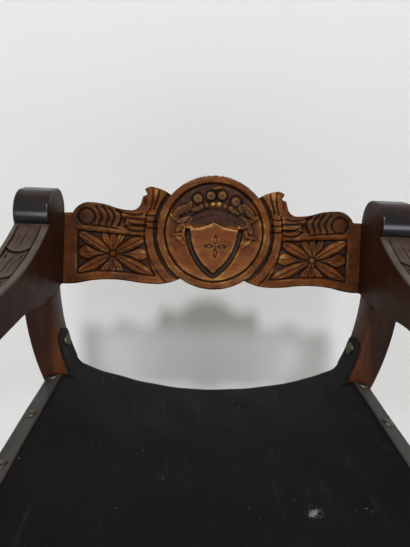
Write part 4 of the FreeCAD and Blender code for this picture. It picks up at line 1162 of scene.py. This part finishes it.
def make_nails():
    for word, side in SIDES:
        build_band(word, side)
        for k, y in enumerate(TACK_Y):
            dome("%s_tack_%d" % (word, k + 1), on_seat(side, y, BAND_LOW + BAND_THICK - 0.3),
                 (side * SEAT_SIN, 0, SEAT_COS), 8.6, 3.6, word + "_frame", 11 * k + 5 + side)
        turn = radians(13.0)
        x, z = upper_point(turn, -HALF_LEG - GAP - LEATHER - GAP)
        for end, y, seed in (("rear", BACK - 24.0, 43), ("front", FRONT + 24.0, 40)):
            dome("%s_%s_tab_nail" % (word, end), (side * x, y, z),
                 (-side * cos(turn), 0, sin(turn)), 11.0, 4.2, word + "_frame",
                 seed + side)


make_nails()


# Room, lamps and camera

def backdrop():
    s = Shader("pale_backdrop", "ShaderNodeBsdfDiffuse")
    diffuse = s.bsdf, "BSDF"
    place = s.add("ShaderNodeSeparateXYZ")
    s.link(s.where, place, 0)
    height = s.between((place, "Z"), 0.0, 1.0, -0.2, 1.6)
    s.link(s.ramp(height, [(0.0, (0.74, 0.74, 0.72)), (0.5, (0.78, 0.78, 0.77)), (1.0, 0.80)]),
           s.bsdf, "Color")
    glow = s.add("ShaderNodeEmission", {"Color": (0.97, 0.98, 1.0, 1), "Strength": 0.01})
    both = s.add("ShaderNodeAddShader")
    s.link(diffuse, both, 0)
    s.link((glow, "Emission"), both, 1)
    wall = s.mix_shader(s.seen_rays(), diffuse, (both, "Shader"))
    # Seen from behind, the wall is clear, so that the chair shows from every side.
    behind = s.add("ShaderNodeNewGeometry"), "Backfacing"
    clear = s.add("ShaderNodeBsdfTransparent"), "BSDF"
    s.link(s.mix_shader(behind, wall, clear), s.out, "Surface")
    # A floor that turns up into a wall behind the chair, in metres.
    half, bend, wall_y = 6.0, 0.15, 0.70
    profile = [(-half, 0.0)]
    profile += [(wall_y - bend + bend * sin(a), bend - bend * cos(a))
                for a in np.linspace(0, pi / 2, 24)]
    profile.append((wall_y, 5.0))
    verts = [(x, y, z) for y, z in profile for x in (-half, half)]
    faces = strips([(2 * i, 2 * i + 1) for i in range(len(profile))])
    new_piece("backdrop", verts, faces, s.material)


backdrop()


def lamp(name, place, target, energy, size, colour):
    """A round area lamp."""
    data = bpy.data.lights.new(name, "AREA")
    data.energy, data.color = energy, colour
    data.shape, data.size = "DISK", size
    obj = bpy.data.objects.new(name, data)
    bpy.context.scene.collection.objects.link(obj)
    obj.location = place
    obj.rotation_euler = (Vector(target) - Vector(place)).to_track_quat("-Z", "Y").to_euler()
    return obj


lamp("key", (-0.12, -3.02, 3.86), (0, 0.25, 0.72), 134, 0.36, (0.985, 0.982, 1.0))
lamp("second", (0.0, -3.6, 2.95), (0, 0.25, 0.72), 46, 0.55, (0.90, 0.95, 1.0))
lamp("window", (-2.9, -1.2, 1.9), (0, 0.2, 0.7), 5, 0.9, (0.93, 0.96, 1.0))
for x in (-2.6, 2.6):
    lamp("side", (x, 0.1, 1.1), (0, -0.15, 0.5), 4.6, 1.0, (1.0, 0.96, 0.85))
# A wide, low window behind the camera, seen only in polished surfaces.
pane = lamp("pane", (0.35, -3.5, 0.80), (0.1, 0.2, 0.75), 170, 4.0, (0.88, 0.93, 1.0))
pane.data.shape = "RECTANGLE"
pane.data.size_y = 1.1
pane.visible_diffuse = False
pane.visible_camera = False
# Two low washes on the wall behind the chair, beside the medallion's shadow.
for x in (-0.26, 0.29):
    wash = lamp("wash", (x, 0.53, 0.24), (x, 0.70, 0.27), 0.065, 0.12, (0.97, 0.96, 1.0))
    wash.visible_camera = False

world = bpy.data.worlds.new("room")
bpy.context.scene.world = world
world.use_nodes = True
room = Nodes(world.node_tree)
light = room.add("ShaderNodeBackground", {"Color": (1.0, 0.965, 0.87, 1), "Strength": 0.105})
pale = room.add("ShaderNodeBackground", {"Color": (0.78, 0.79, 0.80, 1)})
room.link(room.mix_shader(room.seen_rays(), (light, 0), (pale, 0)),
          room.add("ShaderNodeOutputWorld"), 0)


def camera():
    """The camera that was fitted to the photograph."""
    yaw, pitch, roll = 0.0311, 0.2787, 0.0432
    focal, tall, sensor = 470.0, 547.0, 36.0
    ahead = Vector((sin(yaw) * cos(pitch), cos(yaw) * cos(pitch), -sin(pitch)))
    level = Vector((cos(yaw), -sin(yaw), 0))
    upright = level.cross(ahead)
    right = cos(roll) * level + sin(roll) * upright
    up = -sin(roll) * level + cos(roll) * upright
    data = bpy.data.cameras.new("view")
    data.sensor_width = sensor
    data.lens = focal * sensor / tall
    data.clip_start, data.clip_end = 0.01, 50.0
    obj = bpy.data.objects.new("view", data)
    bpy.context.scene.collection.objects.link(obj)
    pose = Matrix((right, up, -ahead)).transposed().to_4x4()
    pose.translation = Vector((-0.0378, -0.5625, 0.8775))
    obj.matrix_world = pose
    bpy.context.scene.camera = obj


camera()
bpy.context.scene.view_settings.view_transform = "Standard"
